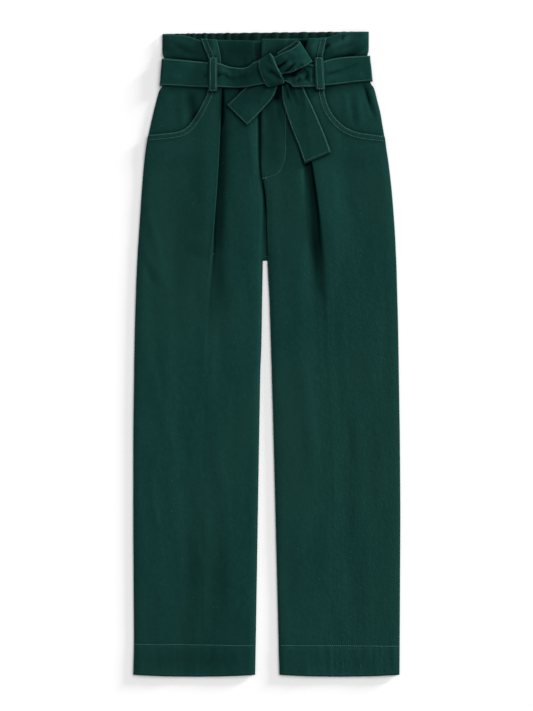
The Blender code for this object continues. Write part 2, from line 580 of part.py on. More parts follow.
def belt_back(material):
    """The belt across the back, under the trousers."""
    across = np.linspace(0, 1, 3)[None, :]
    share = np.linspace(0, 1, 9)[:, None]
    ends = []
    for side in (RIGHT, LEFT):
        level = belt_line(side * SIDE_SEAM[side]["x"][0]) + BELT_WIDTH * (across - 0.5)
        ends.append(side * (follow(SIDE_SEAM[side], "x", level) - BELT_BACK_INSET))
    x = ends[0] + (ends[1] - ends[0]) * share
    drop = belt_line(x) + BELT_WIDTH * (across - 0.5)
    return belt_piece("belt_back", x, drop, BELT_CLOTH / 2, material)


def belt_loop(side, heap, material):
    """A strip over the belt, sewn down above and below it."""
    ends = LOOP[side]
    across = np.linspace(0, 1, 4)[None, :]
    drop = np.linspace(ends["drop"][0], ends["drop"][-1], 13)[:, None] + 0 * across
    low, high = follow(ends, "low", drop), follow(ends, "high", drop)
    x = side * (low + (high - low) * across)
    return belt_piece("belt_loop_" + SIDE_NAMES[side], x, drop, heap.over(x, drop, BELT_CLOTH), material)


def bow(heap, material):
    """The one loop of the bow: out from the knot, round an open fold, and back above itself.

    It keeps a level of its own, half way from the heap's mean height to its highest, and is pushed up from
    there where the heap is higher.
    """
    x, drop, along, _ = stretch(BOW, 19, 7)
    base = heap.over(x, drop, BELT_CLOTH)
    level = (base.max() + base.mean()) / 2
    z = np.maximum(level + follow(BOW, "up", along, key="station"), base)
    return belt_piece("belt_bow", x, drop, z, material)


def knot(heap, material):
    """The turn of belt that wraps the knot, fullest in its middle."""
    x, drop, along, across = stretch(KNOT, 12, 9)
    lengthwise = 0.3 + 0.7 * np.sin(np.pi * along / KNOT["station"][-1])
    fullness = KNOT_FULLNESS * np.sin(np.pi * across) ** 0.7 * lengthwise
    return belt_piece("belt_knot", x, drop, heap.over(x, drop, BELT_CLOTH) + fullness, material)


def main():
    for old in list(bpy.data.objects):
        bpy.data.objects.remove(old)
    bpy.context.scene.collection.children.link(bpy.data.collections.new(COLLECTION))
    green = dyed("green_twill", GREEN)
    inside = dyed("green_twill_inside", GREEN_INSIDE)
    belt = dyed("green_twill_belt", GREEN_BELT)
    sides = (RIGHT, LEFT)
    heap = Heap()
    belt_back(belt)
    back_waist(inside)
    for side in sides:
        back(side, green)
        heap.add(hip(side, green), front(side, green))
    heap.add(*[tail(side, heap, belt) for side in sides])
    heap.add(*[belt_front(side, heap, belt) for side in sides])
    heap.add(*[belt_loop(side, heap, belt) for side in sides])
    heap.add(bow(heap, belt))
    knot(heap, belt)


main()
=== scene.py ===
"""Paperbag-waist trousers in dark green cotton twill, laid flat on their back, with a tied cloth belt.

Sizes in the tables are millimetres of the laid-out garment. A place on the cloth is given as x, from the
centre line and positive to the wearer's left, drop, down from the highest point of the waist frill, and
height above the surface that the garment lies on. In a side's own tables x is counted outwards, to that
side. Each piece of cloth is a grid of places worked out as whole arrays, with a Solidify wall.
"""

import bpy
import numpy as np
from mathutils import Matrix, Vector

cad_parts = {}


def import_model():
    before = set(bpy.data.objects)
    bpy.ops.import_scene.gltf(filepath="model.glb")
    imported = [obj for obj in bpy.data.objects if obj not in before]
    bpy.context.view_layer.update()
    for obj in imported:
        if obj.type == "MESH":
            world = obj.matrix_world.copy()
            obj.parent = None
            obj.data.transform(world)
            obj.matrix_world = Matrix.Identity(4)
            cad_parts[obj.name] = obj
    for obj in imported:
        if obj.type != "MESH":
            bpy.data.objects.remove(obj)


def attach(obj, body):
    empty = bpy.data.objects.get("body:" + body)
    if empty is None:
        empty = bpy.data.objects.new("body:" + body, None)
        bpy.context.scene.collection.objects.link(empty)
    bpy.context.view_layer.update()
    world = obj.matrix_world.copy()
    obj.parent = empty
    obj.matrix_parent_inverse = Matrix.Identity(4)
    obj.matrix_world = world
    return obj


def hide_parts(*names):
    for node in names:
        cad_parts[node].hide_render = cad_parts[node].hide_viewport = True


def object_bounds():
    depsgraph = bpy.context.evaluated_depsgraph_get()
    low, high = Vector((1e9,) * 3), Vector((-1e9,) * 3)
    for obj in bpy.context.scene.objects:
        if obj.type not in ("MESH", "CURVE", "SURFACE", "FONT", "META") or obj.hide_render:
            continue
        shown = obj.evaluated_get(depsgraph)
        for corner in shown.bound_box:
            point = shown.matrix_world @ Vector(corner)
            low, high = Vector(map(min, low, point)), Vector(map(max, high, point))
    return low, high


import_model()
CAD_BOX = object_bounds()

bl_info = {
    "name": "Paperbag Waist Trousers",
    "version": (1, 0, 0),
    "blender": (4, 5, 0),
    "location": "View3D > Sidebar > Trousers",
    "description": "Dresses the packed frame of a pair of tied paperbag-waist trousers laid flat",
    "category": "Object",
}

MM = 0.001
BODY = "root"
LENGTH = round((CAD_BOX[1][1] - CAD_BOX[0][1]) / MM, 1)  # frill top to hem
CLOTH = 1.2  # wall of a single layer
BELT_CLOTH = 1.8  # the belt and its loops are sewn double
BELT_WIDTH = 45.0
GAP = 0.3  # between pieces that touch
ON_BACK = CLOTH * 1.5 + GAP  # middle height of a layer on the back
RIGHT, LEFT = -1, 1  # the wearer's sides
SIDES = (RIGHT, LEFT)
SIDE_NAMES = {RIGHT: "right", LEFT: "left"}
BLUR_REACH = 2.6  # a blur's bell counts for nothing beyond so many of its widths
SWELL_WAVES = 9  # in an uneven field
SWELL_FINER = (0.7, 1.5)  # how many times finer than its size a wave may be
SWELL_SPREAD = 1.4  # brings their sum back to between about -1 and 1
CREASE_STARTS, CREASE_ENDS = (-0.12, 0.3), (0.7, 1.12)  # shares of its length where a crease comes and goes


# ------ curves and tables
def table(columns, *rows):
    """Named columns of numbers, with one row for each section."""
    return {name: np.array(values, float) for name, values in zip(columns.split(), zip(*rows))}


def creases(*rows):
    """A table of creases or soft bands, each from one place to another and bent aside in its middle."""
    return table("x drop to_x to_drop bend width up", *rows)


def follow(sections, column, at, key="drop"):
    """A smooth curve through one column that never overshoots its rows (monotone cubic)."""
    x, y = sections[key], sections[column]
    at = np.clip(np.asarray(at, float), x[0], x[-1])
    step = np.diff(x)
    slope = row_slopes(y[None, :], step[None, :])[0]
    i = np.clip(np.searchsorted(x, at, side="right") - 1, 0, len(step) - 1)
    return eased((at - x[i]) / step[i], step[i], y[i], y[i + 1], slope[i], slope[i + 1])


def row_slopes(y, step):
    """Slopes at the knots of monotone curves, one a row: the harmonic mean of the rises beside them."""
    rise = np.diff(y, axis=1) / step
    same_way = rise[:, :-1] * rise[:, 1:] > 0
    total = np.where(same_way, rise[:, :-1] + rise[:, 1:], 1.0)
    inside = np.where(same_way, 2 * rise[:, :-1] * rise[:, 1:] / total, 0.0)
    return np.hstack([rise[:, :1], inside, rise[:, -1:]])


def eased(t, step, y0, y1, slope0, slope1):
    """The cubic from y0 to y1 over one step, with those slopes at its ends; t runs from 0 to 1."""
    return (
        y0 * (1 + 2 * t) * (1 - t) ** 2
        + slope0 * step * t * (1 - t) ** 2
        + y1 * t * t * (3 - 2 * t)
        - slope1 * step * t * t * (1 - t)
    )


def ramp(value, start, end):
    """0 before start, 1 after end, and an S between them."""
    t = np.clip((np.asarray(value, float) - start) / (end - start), 0.0, 1.0)
    return t * t * (3 - 2 * t)


def bell(off, width):
    """1 where off is nothing, and e to the power of minus the square of off in widths beside it."""
    return np.exp(-((off / width) ** 2))


def rolled(inset, width):
    """How far cloth has risen from its edge, 0 to 1, as a quarter circle of that width."""
    t = np.clip(1 - np.asarray(inset, float) / width, 0.0, 1.0)
    return np.sqrt(1 - t * t)


def spaced(stops, step):
    """Values from the first stop to the last that meet every stop and lie no more than step apart."""
    counts = np.maximum(np.ceil(np.diff(stops) / step), 1).astype(int)
    runs = [np.linspace(a, b, n, endpoint=False) for a, b, n in zip(stops[:-1], stops[1:], counts)]
    return np.append(np.concatenate(runs), stops[-1])


def read_off(grid, row, column):
    """Values between the places of a grid, at rows and columns given as fractions: a bilinear mean."""
    i = np.clip(row.astype(int), 0, len(grid) - 2)
    j = np.clip(column.astype(int), 0, grid.shape[1] - 2)
    a, b = row - i, column - j
    if grid.ndim > 2:
        a, b = a[..., None], b[..., None]
    upper = grid[i, j] * (1 - b) + grid[i, j + 1] * b
    lower = grid[i + 1, j] * (1 - b) + grid[i + 1, j + 1] * b
    return upper * (1 - a) + lower * a


def swell(x, drop, size, seed):
    """An uneven field between about -1 and 1: the mean of plane waves in seeded directions.

    size gives the usual length of a wave across the garment and down it.
    """
    draw = np.random.default_rng(seed)
    total = np.zeros(np.broadcast(x, drop).shape)
    for _ in range(SWELL_WAVES):
        angle, phase = draw.uniform(0, 2 * np.pi, 2)
        finer = draw.uniform(*SWELL_FINER)
        run = x * np.cos(angle) / size[0] + drop * np.sin(angle) / size[1]
        total += np.sin(2 * np.pi * finer * run + phase)
    return total / SWELL_WAVES**0.5 / SWELL_SPREAD


def side_seam(side, drop):
    """How far out a side seam lies."""
    return follow(SIDE_SEAM[side], "x", drop)


def hip_top(side, x):
    """The drop of a hip piece's top edge, with x counted outwards."""
    return follow(HIP_TOP[side], "drop", x, key="x")


# ------ the outline
# The side seams, drawn in a little under the belt.
SIDE_SEAM = {
    RIGHT: table(
        "drop x",
        (0, 171.2), (35, 171.4), (43, 168), (64, 169.6), (89, 172), (96, 176.3), (114, 181.4),
        (133, 186.3), (153, 190.8), (168, 194), (193, 198.6), (226, 202.3), (275, 206.1), (324, 209.4),
        (377, 212.7), (443, 215.6), (541, 217.6), (640, 219.2), (805, 219.2), (1002, 218.1), (1060, 219.2),
    ),
    LEFT: table(
        "drop x",
        (0, 167.2), (31, 167.2), (39, 165.2), (60, 167.4), (84, 170.2), (92, 175.6), (114, 181.5),
        (133, 186.3), (153, 189.8), (168, 192.4), (193, 196.4), (226, 201), (275, 206.2), (324, 209.9),
        (377, 212.5), (443, 214.6), (541, 216.5), (640, 218.1), (805, 219.2), (1002, 218.1), (1060, 217.8),
    ),
}
INSEAM = {
    RIGHT: table(
        "drop x",
        (377, 6.6), (443, 7.8), (509, 8.8), (607, 13.2), (706, 17), (805, 18.1), (904, 19.3),
        (1002, 21), (1060, 19.8),
    ),
    LEFT: table(
        "drop x",
        (373, 1.6), (443, 4.7), (509, 7.5), (607, 11.6), (706, 13.8), (805, 18), (904, 19.6),
        (1002, 19.4), (1060, 21.1),
    ),
}
CROTCH = 376.0
CENTRE_BACK = -2.0

# ------ the fronts
# The middle of a front's lowest layer, above the table.
FRONT_REST = table(
    "drop z", (0, 4.9), (42, 4.9), (88, 4.6), (102, 4.4), (140, 4), (215, 3.6), (377, 3), (1060, 2.8)
)
FRONT_FULLNESS = 1.2  # how much higher the outer half of a front lies
SIDE_ROLL = 16.0  # width over which a front comes up from the side seam

# The knife pleat that each front carries down from the frill. fold is where its edge lies, turn how far the
# cloth turns back under (180 is pressed flat), radius the bend, and tuck the straight run hidden under it.
PLEAT = {
    RIGHT: table(
        "drop fold turn radius tuck",
        (0, 84, 180, 0.98, 3), (11, 83, 180, 0.98, 3), (33, 77.7, 180, 0.98, 5),
        (50, 75.7, 180, 0.98, 5), (96, 74.6, 180, 0.98, 5), (157, 77, 180, 0.98, 6),
        (215, 79.7, 176, 0.98, 6), (278, 83.9, 156, 1, 4), (320, 87, 115, 1.6, 2),
        (362, 89.6, 54, 5, 1), (404, 93, 27, 11, 0.7), (440, 96, 14, 18, 0.8),
        (505, 100, 5, 34, 0.8), (570, 103, 2, 40, 1), (700, 108, 1, 40, 1),
        (1060, 114, 0.8, 40, 1),
    ),
    LEFT: table(
        "drop fold turn radius tuck",
        (0, 68, 180, 0.98, 7), (8, 67.7, 180, 0.98, 7), (28, 63.6, 180, 0.98, 7),
        (44, 62.2, 180, 0.98, 8), (97, 60, 180, 0.98, 8), (157, 67, 180, 0.98, 8),
        (216, 74.6, 172, 1, 7), (278, 83.9, 132, 1.3, 4), (331, 89.2, 66, 3.5, 2),
        (383, 93.5, 28, 9, 1), (425, 95.6, 13, 18, 0.7), (460, 97.2, 7, 28, 0.8),
        (520, 100, 3, 36, 0.8), (590, 104, 1.5, 40, 1), (700, 108, 1, 40, 1),
        (1060, 114, 0.8, 40, 1),
    ),
}
BEND_STEPS = 7  # faces in each bend of the pleat
TUCK_STEPS = 4  # faces along its hidden straight run
PLEAT_ALONG = 0.55  # how far along a section, from its outer to its inner drop, the pleat lies
PAST_TUCK = 2.0  # the top layer stays level this far past the hidden tuck
# From there the top layer comes down over this width.
TOP_SLOPE = table("drop width", (90, 12), (130, 30), (200, 52), (560, 62))

# Each front between its pleat and its centre edge: a crest beside the pleat's recess, the lip and foot of
# the step before the seam, the seam, and the inner edge. The right front's edge goes under the left one,
# which is the fly. Heights are above the front's lowest layer.
INNER_COLUMNS = "drop crest crest_up lip lip_up foot foot_up seam seam_up inner inner_up"
INNER_FRONT = {
    RIGHT: table(
        INNER_COLUMNS,
        (0, 40, 1.2, 31, 1.6, 24, 1.9, 16, 0.5, -4, 0.2),
        (34, 40, 1, 31, 1.6, 24, 1.9, 16, 0.5, -4, 0.2),
        (50, 38, 1, 28, 1.8, 20, 1.7, 13, 0.4, -4, 0.2),
        (88, 34, 1.2, 25, 2, 18, 2, 12.5, 0.4, -5, 0.2),
        (110, 28, 2.6, 22, 3.2, 17.5, 2.6, 13, 0.5, -6, 0.2),
        (150, 25, 3.4, 19.5, 3.5, 16, 2.6, 12.5, 0.5, -6, 0.2),
        (200, 24, 3.4, 18, 3.3, 14.5, 2.4, 11.3, 0.4, -6, 0.2),
        (234, 24, 3.2, 17, 3, 13, 2.2, 10, 0.4, -5, 0.2),
        (246, 24, 3.2, 15, 2.6, 10.5, 1.6, 8, 0.4, -3, 0.1),
        (275, 24, 3, 14, 2.5, 8.5, 1.5, 5, 0.4, -1, 0.1),
        (320, 24, 2.9, 13, 2.4, 8, 1.2, 4.5, 0.3, 0.6, 0),
        (368, 26, 2.2, 14, 1.8, 8, 0.6, 4.5, 0.1, 0.8, -0.3),
        (377, 28, 1.9, 16, 1.6, 11, 0.8, 8.8, -0.3, 6.9, -0.9),
        (443, 36, 1.6, 19, 1.5, 12.6, 0.8, 10.3, -0.2, 8.6, -0.7),
        (1060, 50, 1.3, 31, 1.2, 24, 0.6, 21, -0.2, 19.3, -0.7),
    ),
    LEFT: table(
        INNER_COLUMNS,
        (0, 44, 1.6, 34.5, 2.2, 30.5, 3.1, 10, 3.3, -9.4, 3.2),
        (34, 44, 1.6, 34.5, 2.2, 30.5, 3.1, 10, 3.3, -9.4, 3.2),
        (50, 44, 1.6, 34.5, 2.2, 30.5, 3.1, 10, 3.3, -9.6, 3.2),
        (88, 42, 1.8, 34.5, 2.2, 30.5, 3.1, 10, 3.4, -10, 3.2),
        (110, 41, 2.4, 34.5, 2.3, 30.5, 3.1, 11, 3.7, -10.4, 3.3),
        (150, 43, 2.9, 34.7, 2.6, 30.7, 3.3, 10, 3.8, -10.5, 3.4),
        (200, 50, 3.4, 33.6, 2.7, 29.6, 3.3, 9, 3.7, -10.4, 3.4),
        (232, 54, 3.5, 26, 2.9, 18, 3.2, 4, 3.5, -8.8, 3.2),
        (246, 55, 3.5, 26, 3, 12, 2.9, 3, 2.9, -6, 2.5),
        (275, 57, 3.5, 26, 3, 10, 2.8, 3.5, 2.3, -1.6, 1.8),
        (320, 60, 3.2, 26, 2.8, 9, 2.5, 4, 2.1, 0.2, 1.8),
        (360, 60, 2.8, 24, 2.5, 9, 2, 4.5, 1.3, 1.2, 0.4),
        (373, 60, 2.6, 24, 2.2, 9, 1.5, 4.6, 0.1, 1.3, -0.9),
        (443, 56, 1.8, 24, 1.5, 11, 0.9, 7, -0.1, 4.6, -0.7),
        (1060, 62, 1.4, 33, 1.2, 25, 0.6, 22.8, -0.2, 21.1, -0.7),
    ),
}

# One row for each section of a front. The outer end follows the topstitched edge down the frill, round the
# scoop of the pocket, and then the side seam. The inner end follows the centre edge and the inseam.
FRONT_ROWS = {
    RIGHT: table(
        "outer_drop outer_x inner_drop",
        (11.2, 108.6, 15), (27, 103, 29), (43.3, 96.8, 44), (64, 96.6, 64), (90, 97.4, 90),
        (101, 98.2, 103), (109, 101.4, 113), (118, 106, 124), (129, 111.6, 136), (139.1, 117.7, 148),
        (148.5, 124.2, 159), (156.2, 131.2, 169), (161.2, 138, 178), (164.2, 147, 187),
        (166.2, 160, 195), (167.5, 174, 202), (168.4, 184, 208), (168.9, 190.5, 214),
        (169.4, 194.2, 222), (192.6, 198.5, 236), (225.5, 202.3, 248), (262, 205.2, 270),
        (300, 207.8, 302), (340, 210.4, 340), (370, 212.3, 370), (379, 212.8, 379), (425, 214.8, 425),
        (480, 216.4, 480), (560, 217.9, 560), (680, 219.2, 680), (800, 219.2, 800), (910, 218.6, 910),
        (1004, 218.1, 1004), (1057, 219.2, 1057),
    ),
    LEFT: table(
        "outer_drop outer_x inner_drop",
        (10.4, 98.4, 12), (27, 94.8, 27), (43.3, 91.8, 43.5), (64, 92.5, 64), (90, 94.2, 90),
        (101.6, 95.2, 103), (109, 96.8, 113), (118, 99.2, 124), (127, 103, 135), (135, 107.6, 146),
        (141.6, 112.6, 156), (148, 118.6, 166), (154.4, 126, 176), (159.4, 134, 186),
        (163.4, 143.4, 197), (167.2, 160, 205), (168.8, 173, 210), (170, 183, 214),
        (170.6, 189, 218), (171, 192.8, 223), (192.6, 196.3, 236), (225.5, 201, 248),
        (262, 205, 270), (300, 208.2, 302), (340, 210.8, 340), (366, 212, 366), (376, 212.5, 376),
        (425, 214, 425), (480, 215.4, 480), (560, 216.8, 560), (680, 218.5, 680), (800, 219.2, 800),
        (910, 218.7, 910), (1004, 218.1, 1004), (1057, 217.8, 1057),
    ),
}
POCKET_END = {RIGHT: 19, LEFT: 20}  # the first rows of a front run along its topstitched edge
HEM_SAG = 3.0  # a hem is this much lower in its middle than at its seams
HEM_RISE = 60.0  # the sag starts this far above the hem
EDGE_INSETS = (0, 0.4, 1, 1.6, 2.4, 3.4, 4.6, 6, 7.4, 8.6, 10)  # columns along a front's outer edge
SLOPE_COLUMNS = 34  # columns between them and the tuck
BEYOND_FOLD = ((2, 0), (8, 0.25))  # columns in the recess beside the pleat, and their rise
INNER_SHARES = {"crest": 0.75, "lip": 0.85, "foot": 0.92, "seam": 0.97, "inner": 1.0}
INNER_STEPS = (1, 3, 16, 5, 4, 5, 6)  # faces from the pleat through those to the inner edge
ROW_STEP = 3.1

# ------ the hips
# The hip pieces show above the pockets. Their top edge runs from the front out to the side seam.
HIP_TOP = {
    RIGHT: table("x drop", (90.5, 15.4), (112.6, 13), (125.6, 8.6), (138.8, 5.6), (171.2, 4.1)),
    LEFT: table("x drop", (85, 10), (101.7, 8.6), (119.5, 1.8), (145.5, -0.3), (167.2, -0.4)),
}
HIP_INNER = {RIGHT: 90.5, LEFT: 85.0}  # the edge hidden under the front
HIP_LEVEL = 27.0  # from here down the rows are level, and above it they follow the top edge
HIP_FOOT = 188.0
HIP_ROLL = 18.0
HIP_FULLNESS = 0.9
HIP_FULL_BELOW, HIP_FULL_INSIDE = (95, 125), (6, 40)  # drops and insets over which the fullness sets in
HIP_STEP = 3.0
HIP_ACROSS = np.append([0, 0.006, 0.014, 0.026, 0.042], np.linspace(0.065, 1, 36))  # from the side seam in
PAST_HIP = (4.0, 40.0)  # how far below a hip piece the front over it comes down

# ------ the back
# The elasticated back waist: where the troughs lie between its gathers.
BACK_TROUGHS = (
    -171, -152, -142, -133, -125, -116, -107, -97, -84, -70, -59, -45, -28, -10, 6, 21, 38, 52, 68, 83, 98,
    110, 121, 133, 146, 167,
)
GATHER_ROUND = (0.7, 0.8)  # a gather's share of the height, and the power of the sine that rounds it
GATHER_HEIGHT = table("drop up", (0, 4), (12, 3), (20, 2.6), (36, 0.7))
GATHER_UNEVEN = (0.4, 2.3)  # share by which the gathers' heights differ, and its change from one to the next
TROUGH_HEIGHT = 0.06  # share of the height at which the troughs lie, just clear of the table
GATHER_FADE = (120, 162)  # the gathers die out between these, towards the sides
BACK_SEAM = 80.0
BACK_SCALLOP = (0.5, 2, 12)  # how far the top edge dips in the troughs, and where that dies out
BACK_TOP = {RIGHT: 2.6, LEFT: -1.2}  # the top edge climbs towards the wearer's left
WAIST_LEVELS = (0.0, 36.0, BACK_SEAM)
WAIST_STEP = 2.6
WAIST_COLUMNS = 300
BACK_LEVELS = (80.4, CROTCH - 0.2, CROTCH + 0.2, 1055.5)
BACK_STEP = 4.2
BACK_ACROSS = np.concatenate(  # shares of the way from the seam of a back to its side
    [[0, 0.008, 0.02, 0.035], np.linspace(0.055, 0.965, 44), [0.98, 0.992, 1]]
)
BACK_CREASED = (0.03, 0.2, 0.8, 0.97)  # the creases set in and die out between these shares
BELT_MIDDLE, BELT_LEAN = 62.6, 0.0175  # the belt's middle on the back at the centre line, and its fall
BACK_CLEAR, BACK_SLOPE = 6.0, 9.0  # the back is held up this far past the belt, and comes down over this

# ------ the belt
# The belt over the front, from the knot to the side, and its two edges.
BELT_FRONT = {
    RIGHT: table(
        "x top bottom",
        (0, 49, 86), (14, 48.6, 88.5), (22, 51.2, 90), (30, 57.6, 91.5), (40.3, 60.4, 92.5),
        (60.1, 58.4, 92.3), (80.3, 52.5, 91.8), (97.4, 51, 91.8), (135, 47.2, 90), (180, 43, 87.6),
    ),
    LEFT: table(
        "x top bottom",
        (3, 46, 78), (20, 50, 80.5), (28, 52, 82), (36.5, 53, 85.6), (45, 54, 92.4), (60, 54, 92),
        (75, 55, 91.4), (82, 56, 91), (93.7, 48.9, 89.4), (119.5, 42.8, 86.5), (142.7, 40.8, 83.5),
        (180, 38.6, 80),
    ),
}
BELT_TURN_INSET = 5.0  # how far in from the side seam the turned belt ends, under the trousers
BELT_PROUD = 1.0  # how far the middle of its turn lies past the seam
BELT_TURN_STEPS = 16
BELT_BACK_INSET = 6.0
BELT_SLACK = ((0.9, 84, 128), (0.35, 150, 162))  # how far it stands off, up to where that dies out
BELT_PRESSED = 0.1  # how far a crease may press it into what it lies on
EDGE_ROUND = 0.9  # width over which a folded strip thins to its edges
STRIP_THIN, LOOP_THIN, KNOT_THIN = 0.35, 0.3, 0.4  # how much lower the edges lie
LOOP_WIDTH = 14.0
LOOP_ARCH = 0.25  # how far its middle stands up
GRIDS = {  # places along each strip, and across it
    "belt_back": (120, 14), "belt_front": (118, 30), "tail": (70, 30), "loop": (44, 14), "bow": (120, 30),
    "knot": (70, 40),
}
STITCHED = {  # shares of its length between which a strip is stitched, or up to its turn and on from there
    "tail": (0.1, 0.98), "front": (0.02, 0.93), "loop": (0.02, 0.98), "bow": (0.08, 0.52, 0.97),
    "knot": (0.02, 0.98, 0.98),
}
TAIL_END = (0.98,)  # the share at which a tail is stitched across
LONG_ROW, SHORT_ROW = 160, 40  # places along a row of a strip's stitching
BOW_STITCH_WIDTH, KNOT_STITCH_WIDTH = 40.0, 30.0
LOOP_STITCH = 2.6  # how far in from its edges a loop's rows of stitching run
LOOP_BARS = (0.018, 0.035, 0.965, 0.982)  # shares of its length where the bartacks cross it
LOOP = {  # where each belt loop starts and ends, and its two edges
    RIGHT: table("drop low high", (43.3, 81.6, 94.8), (98.8, 82, 95.2)),
    LEFT: table("drop low high", (42.8, 77.9, 91.9), (96, 80.3, 95.1)),
}

# The tied part. a and b are the two edges of the belt at each station along it.
TAIL = {
    RIGHT: table(
        "station a_x a_drop b_x b_drop",
        (0, -19, 76, 21, 81), (1, -30, 87, 10.2, 107.8), (2, -40, 96.5, -6.6, 127.6),
        (3, -52, 108, -19, 141), (4, -65.8, 120.7, -32.4, 154.2),
    ),
    LEFT: table(
        "station a_x a_drop b_x b_drop",
        (0, 24.7, 78, 58, 80), (1, 24.8, 98, 62, 98), (2, 26, 114, 68, 110.5),
        (3, 30, 129, 73.5, 121), (4, 42.1, 164.1, 84.8, 147), (5, 52, 188.5, 94.5, 170),
        (6, 61.9, 217.3, 105.3, 199.2),
    ),
}
TAIL_GATHERED = 0.6  # the station up to which the knot holds a tail's folds closed
TAIL_FREE = (0.5, 0.4, 1.6)  # how far a tail stands off, and the stations over which it comes to
TAIL_PRESSED = 0.4  # how far a crease may press a tail in
TAIL_PLEATS = {  # how many folds the knot puts in a tail, how deep they are, and where they have opened
    RIGHT: {"count": 1.5, "depth": 0.8, "open_at": 2.0},
    LEFT: {"count": 2.5, "depth": 1.6, "open_at": 2.6},
}
BOW = table(
    "station a_x a_drop b_x b_drop up",
    (0, 8, 44, 17, 66, 0), (1, 22, 32.4, 34, 66, 0.3), (2, 36, 23.7, 52, 60, 0.8),
    (3, 48, 15.8, 67, 53, 1.5), (4, 53, 17.6, 74.1, 51.3, 4.4), (5, 48.5, 24.5, 66, 57, 7.4),
    (6, 38, 31.5, 51, 65, 8.6), (7, 25, 37.5, 38, 70, 7.6), (8, 8, 45, 19, 72, 3.4),
)
KNOT = table(
    "station a_x a_drop b_x b_drop",
    (0, -13, 47.2, 5.6, 36.5), (1, -13.7, 57.6, 11.5, 46.4), (2, -11, 69.1, 16.6, 59.6),
    (3, -6.9, 79.8, 22.6, 70.6), (4, -2, 88.9, 28.5, 81.5), (5, 4.5, 91.6, 28, 86),
)
BOW_TURNED = (4.4, 5.4)  # from here on the bow's cloth has turned over and comes back
KNOT_FULLNESS, KNOT_ENDS, KNOT_ROUND = 3.5, 0.3, 0.7  # in its middle, its share at the ends, a sine's power
KNOT_WIDTH = 32.0

# ------ creases
# Each crease runs from one place to another, bends aside in its middle by bend, and is a ridge where up is
# positive and a trough where it is negative. x is positive to the wearer's left in all of these.
FRONT_CREASES = creases(
    # the right leg, from the pleat down
    (-98, 430, -112, 1130, 0, 16, 0.9), (98, 400, 112, 1130, 0, 16, 0.9),  # where the pleats have opened
    (-84, 376, -64, 474, 0, 11, -0.6), (-100, 385, -114, 575, 2, 13, 0.4),
    (-106, 500, -66, 790, 2, 14, 0.5), (-72, 720, -55, 960, 3, 12, 0.5), (-63, 585, -61, 685, 0, 7, 0.3),
    (-199, 272, -171, 402, 0, 8, 0.6), (-207, 345, -163, 426, 0, 8, 0.5),
    (-199, 380, -187, 417, 0, 6, -0.4), (-196, 495, -152, 690, 8, 11, 0.5),
    (-191, 728, -180, 822, 0, 7, 0.4), (-125, 808, -106, 890, 0, 8, 0.35),
    (-33, 680, -33, 775, 0, 14, -0.4), (-140, 358, -97, 373, 0, 7, -0.35),
    (-142, 338, -98, 350, 0, 8, 0.35), (-150, 235, -118, 300, 4, 14, 0.4),
    (-88, 880, -90, 940, 0, 16, -0.4), (-165, 880, -176, 1000, 2, 12, 0.35),
    (-40, 860, -36, 1000, 0, 14, 0.4),
    # the left leg
    (49, 203, 57, 330, 0, 12, 0.6), (60, 325, 47, 456, 0, 9, 0.6), (89, 412, 97, 450, 0, 7, -0.5),
    (14, 315, 24, 446, 0, 7, 0.4), (34, 345, 39, 395, 0, 6, 0.4), (105, 222, 116, 303, 0, 8, 0.3),
    (108, 325, 116, 393, 0, 8, 0.3), (121, 420, 133, 628, 2, 8, 0.5), (105, 133, 121, 196, 0, 8, 0.3),
    (51, 510, 80, 740, -2, 14, 0.6), (133, 632, 141, 722, 0, 6, -0.35), (130, 265, 138, 293, 0, 6, -0.4),
    (154, 262, 156, 290, 0, 9, -0.4), (37, 858, 37, 990, 0, 20, -0.5), (172, 300, 176, 420, -2, 8, 0.4),
    (190, 402, 186, 520, 2, 8, 0.4), (150, 760, 146, 900, 2, 10, 0.4), (100, 800, 104, 950, 3, 12, 0.4),
    # the fly and the panels beside it
    (14, 104, 14, 152, 0, 4, 0.6), (22, 100, 21, 150, 1, 3, -0.6), (1, 104, 1, 176, 0, 3, -0.4),
    (-29, 112, -21, 244, 1, 6, 0.7), (-60, 105, -56, 170, 0, 8, 0.4), (-52, 180, -50, 290, 2, 10, 0.4),
    (-13, 44, -13, 62, 0, 2.5, -0.5),
)
HIP_CREASES = creases(
    (-139, 95, -138, 158, 0, 6, 1), (-160, 100, -166, 160, 0, 6, 0.4), (-121, 96, -118, 152, 0, 7, -0.7),
    (161, 88, 176, 138, 1, 4, -1), (149, 96, 154, 160, 0, 6, 0.8), (128, 96, 134, 146, 1, 6, 0.6),
    (171, 86, 185, 150, 1, 4, 0.8), (138, 108, 146, 158, 0, 5, -0.5),
    # the frill above the belt
    (-164, 12, -112, 27, 2, 6, 0.5), (-156, 19, -112, 37, 2, 5, -0.5), (-166, 42, -118, 46, 0, 6, 0.4),
    (98, 33, 134, 4, 3, 6, 1.3), (112, 37, 164, 17, 3, 5, 1.5), (98, 21, 116, 8, 0, 4, 0.8),
    (140, 20, 166, 4, 2, 5, 1), (100, 42, 164, 28, 4, 4.5, -1.2), (122, 16, 127, 5, 0, 2.4, -0.8),
    (95, 28, 104, 20, 0, 2.4, -0.7),
)
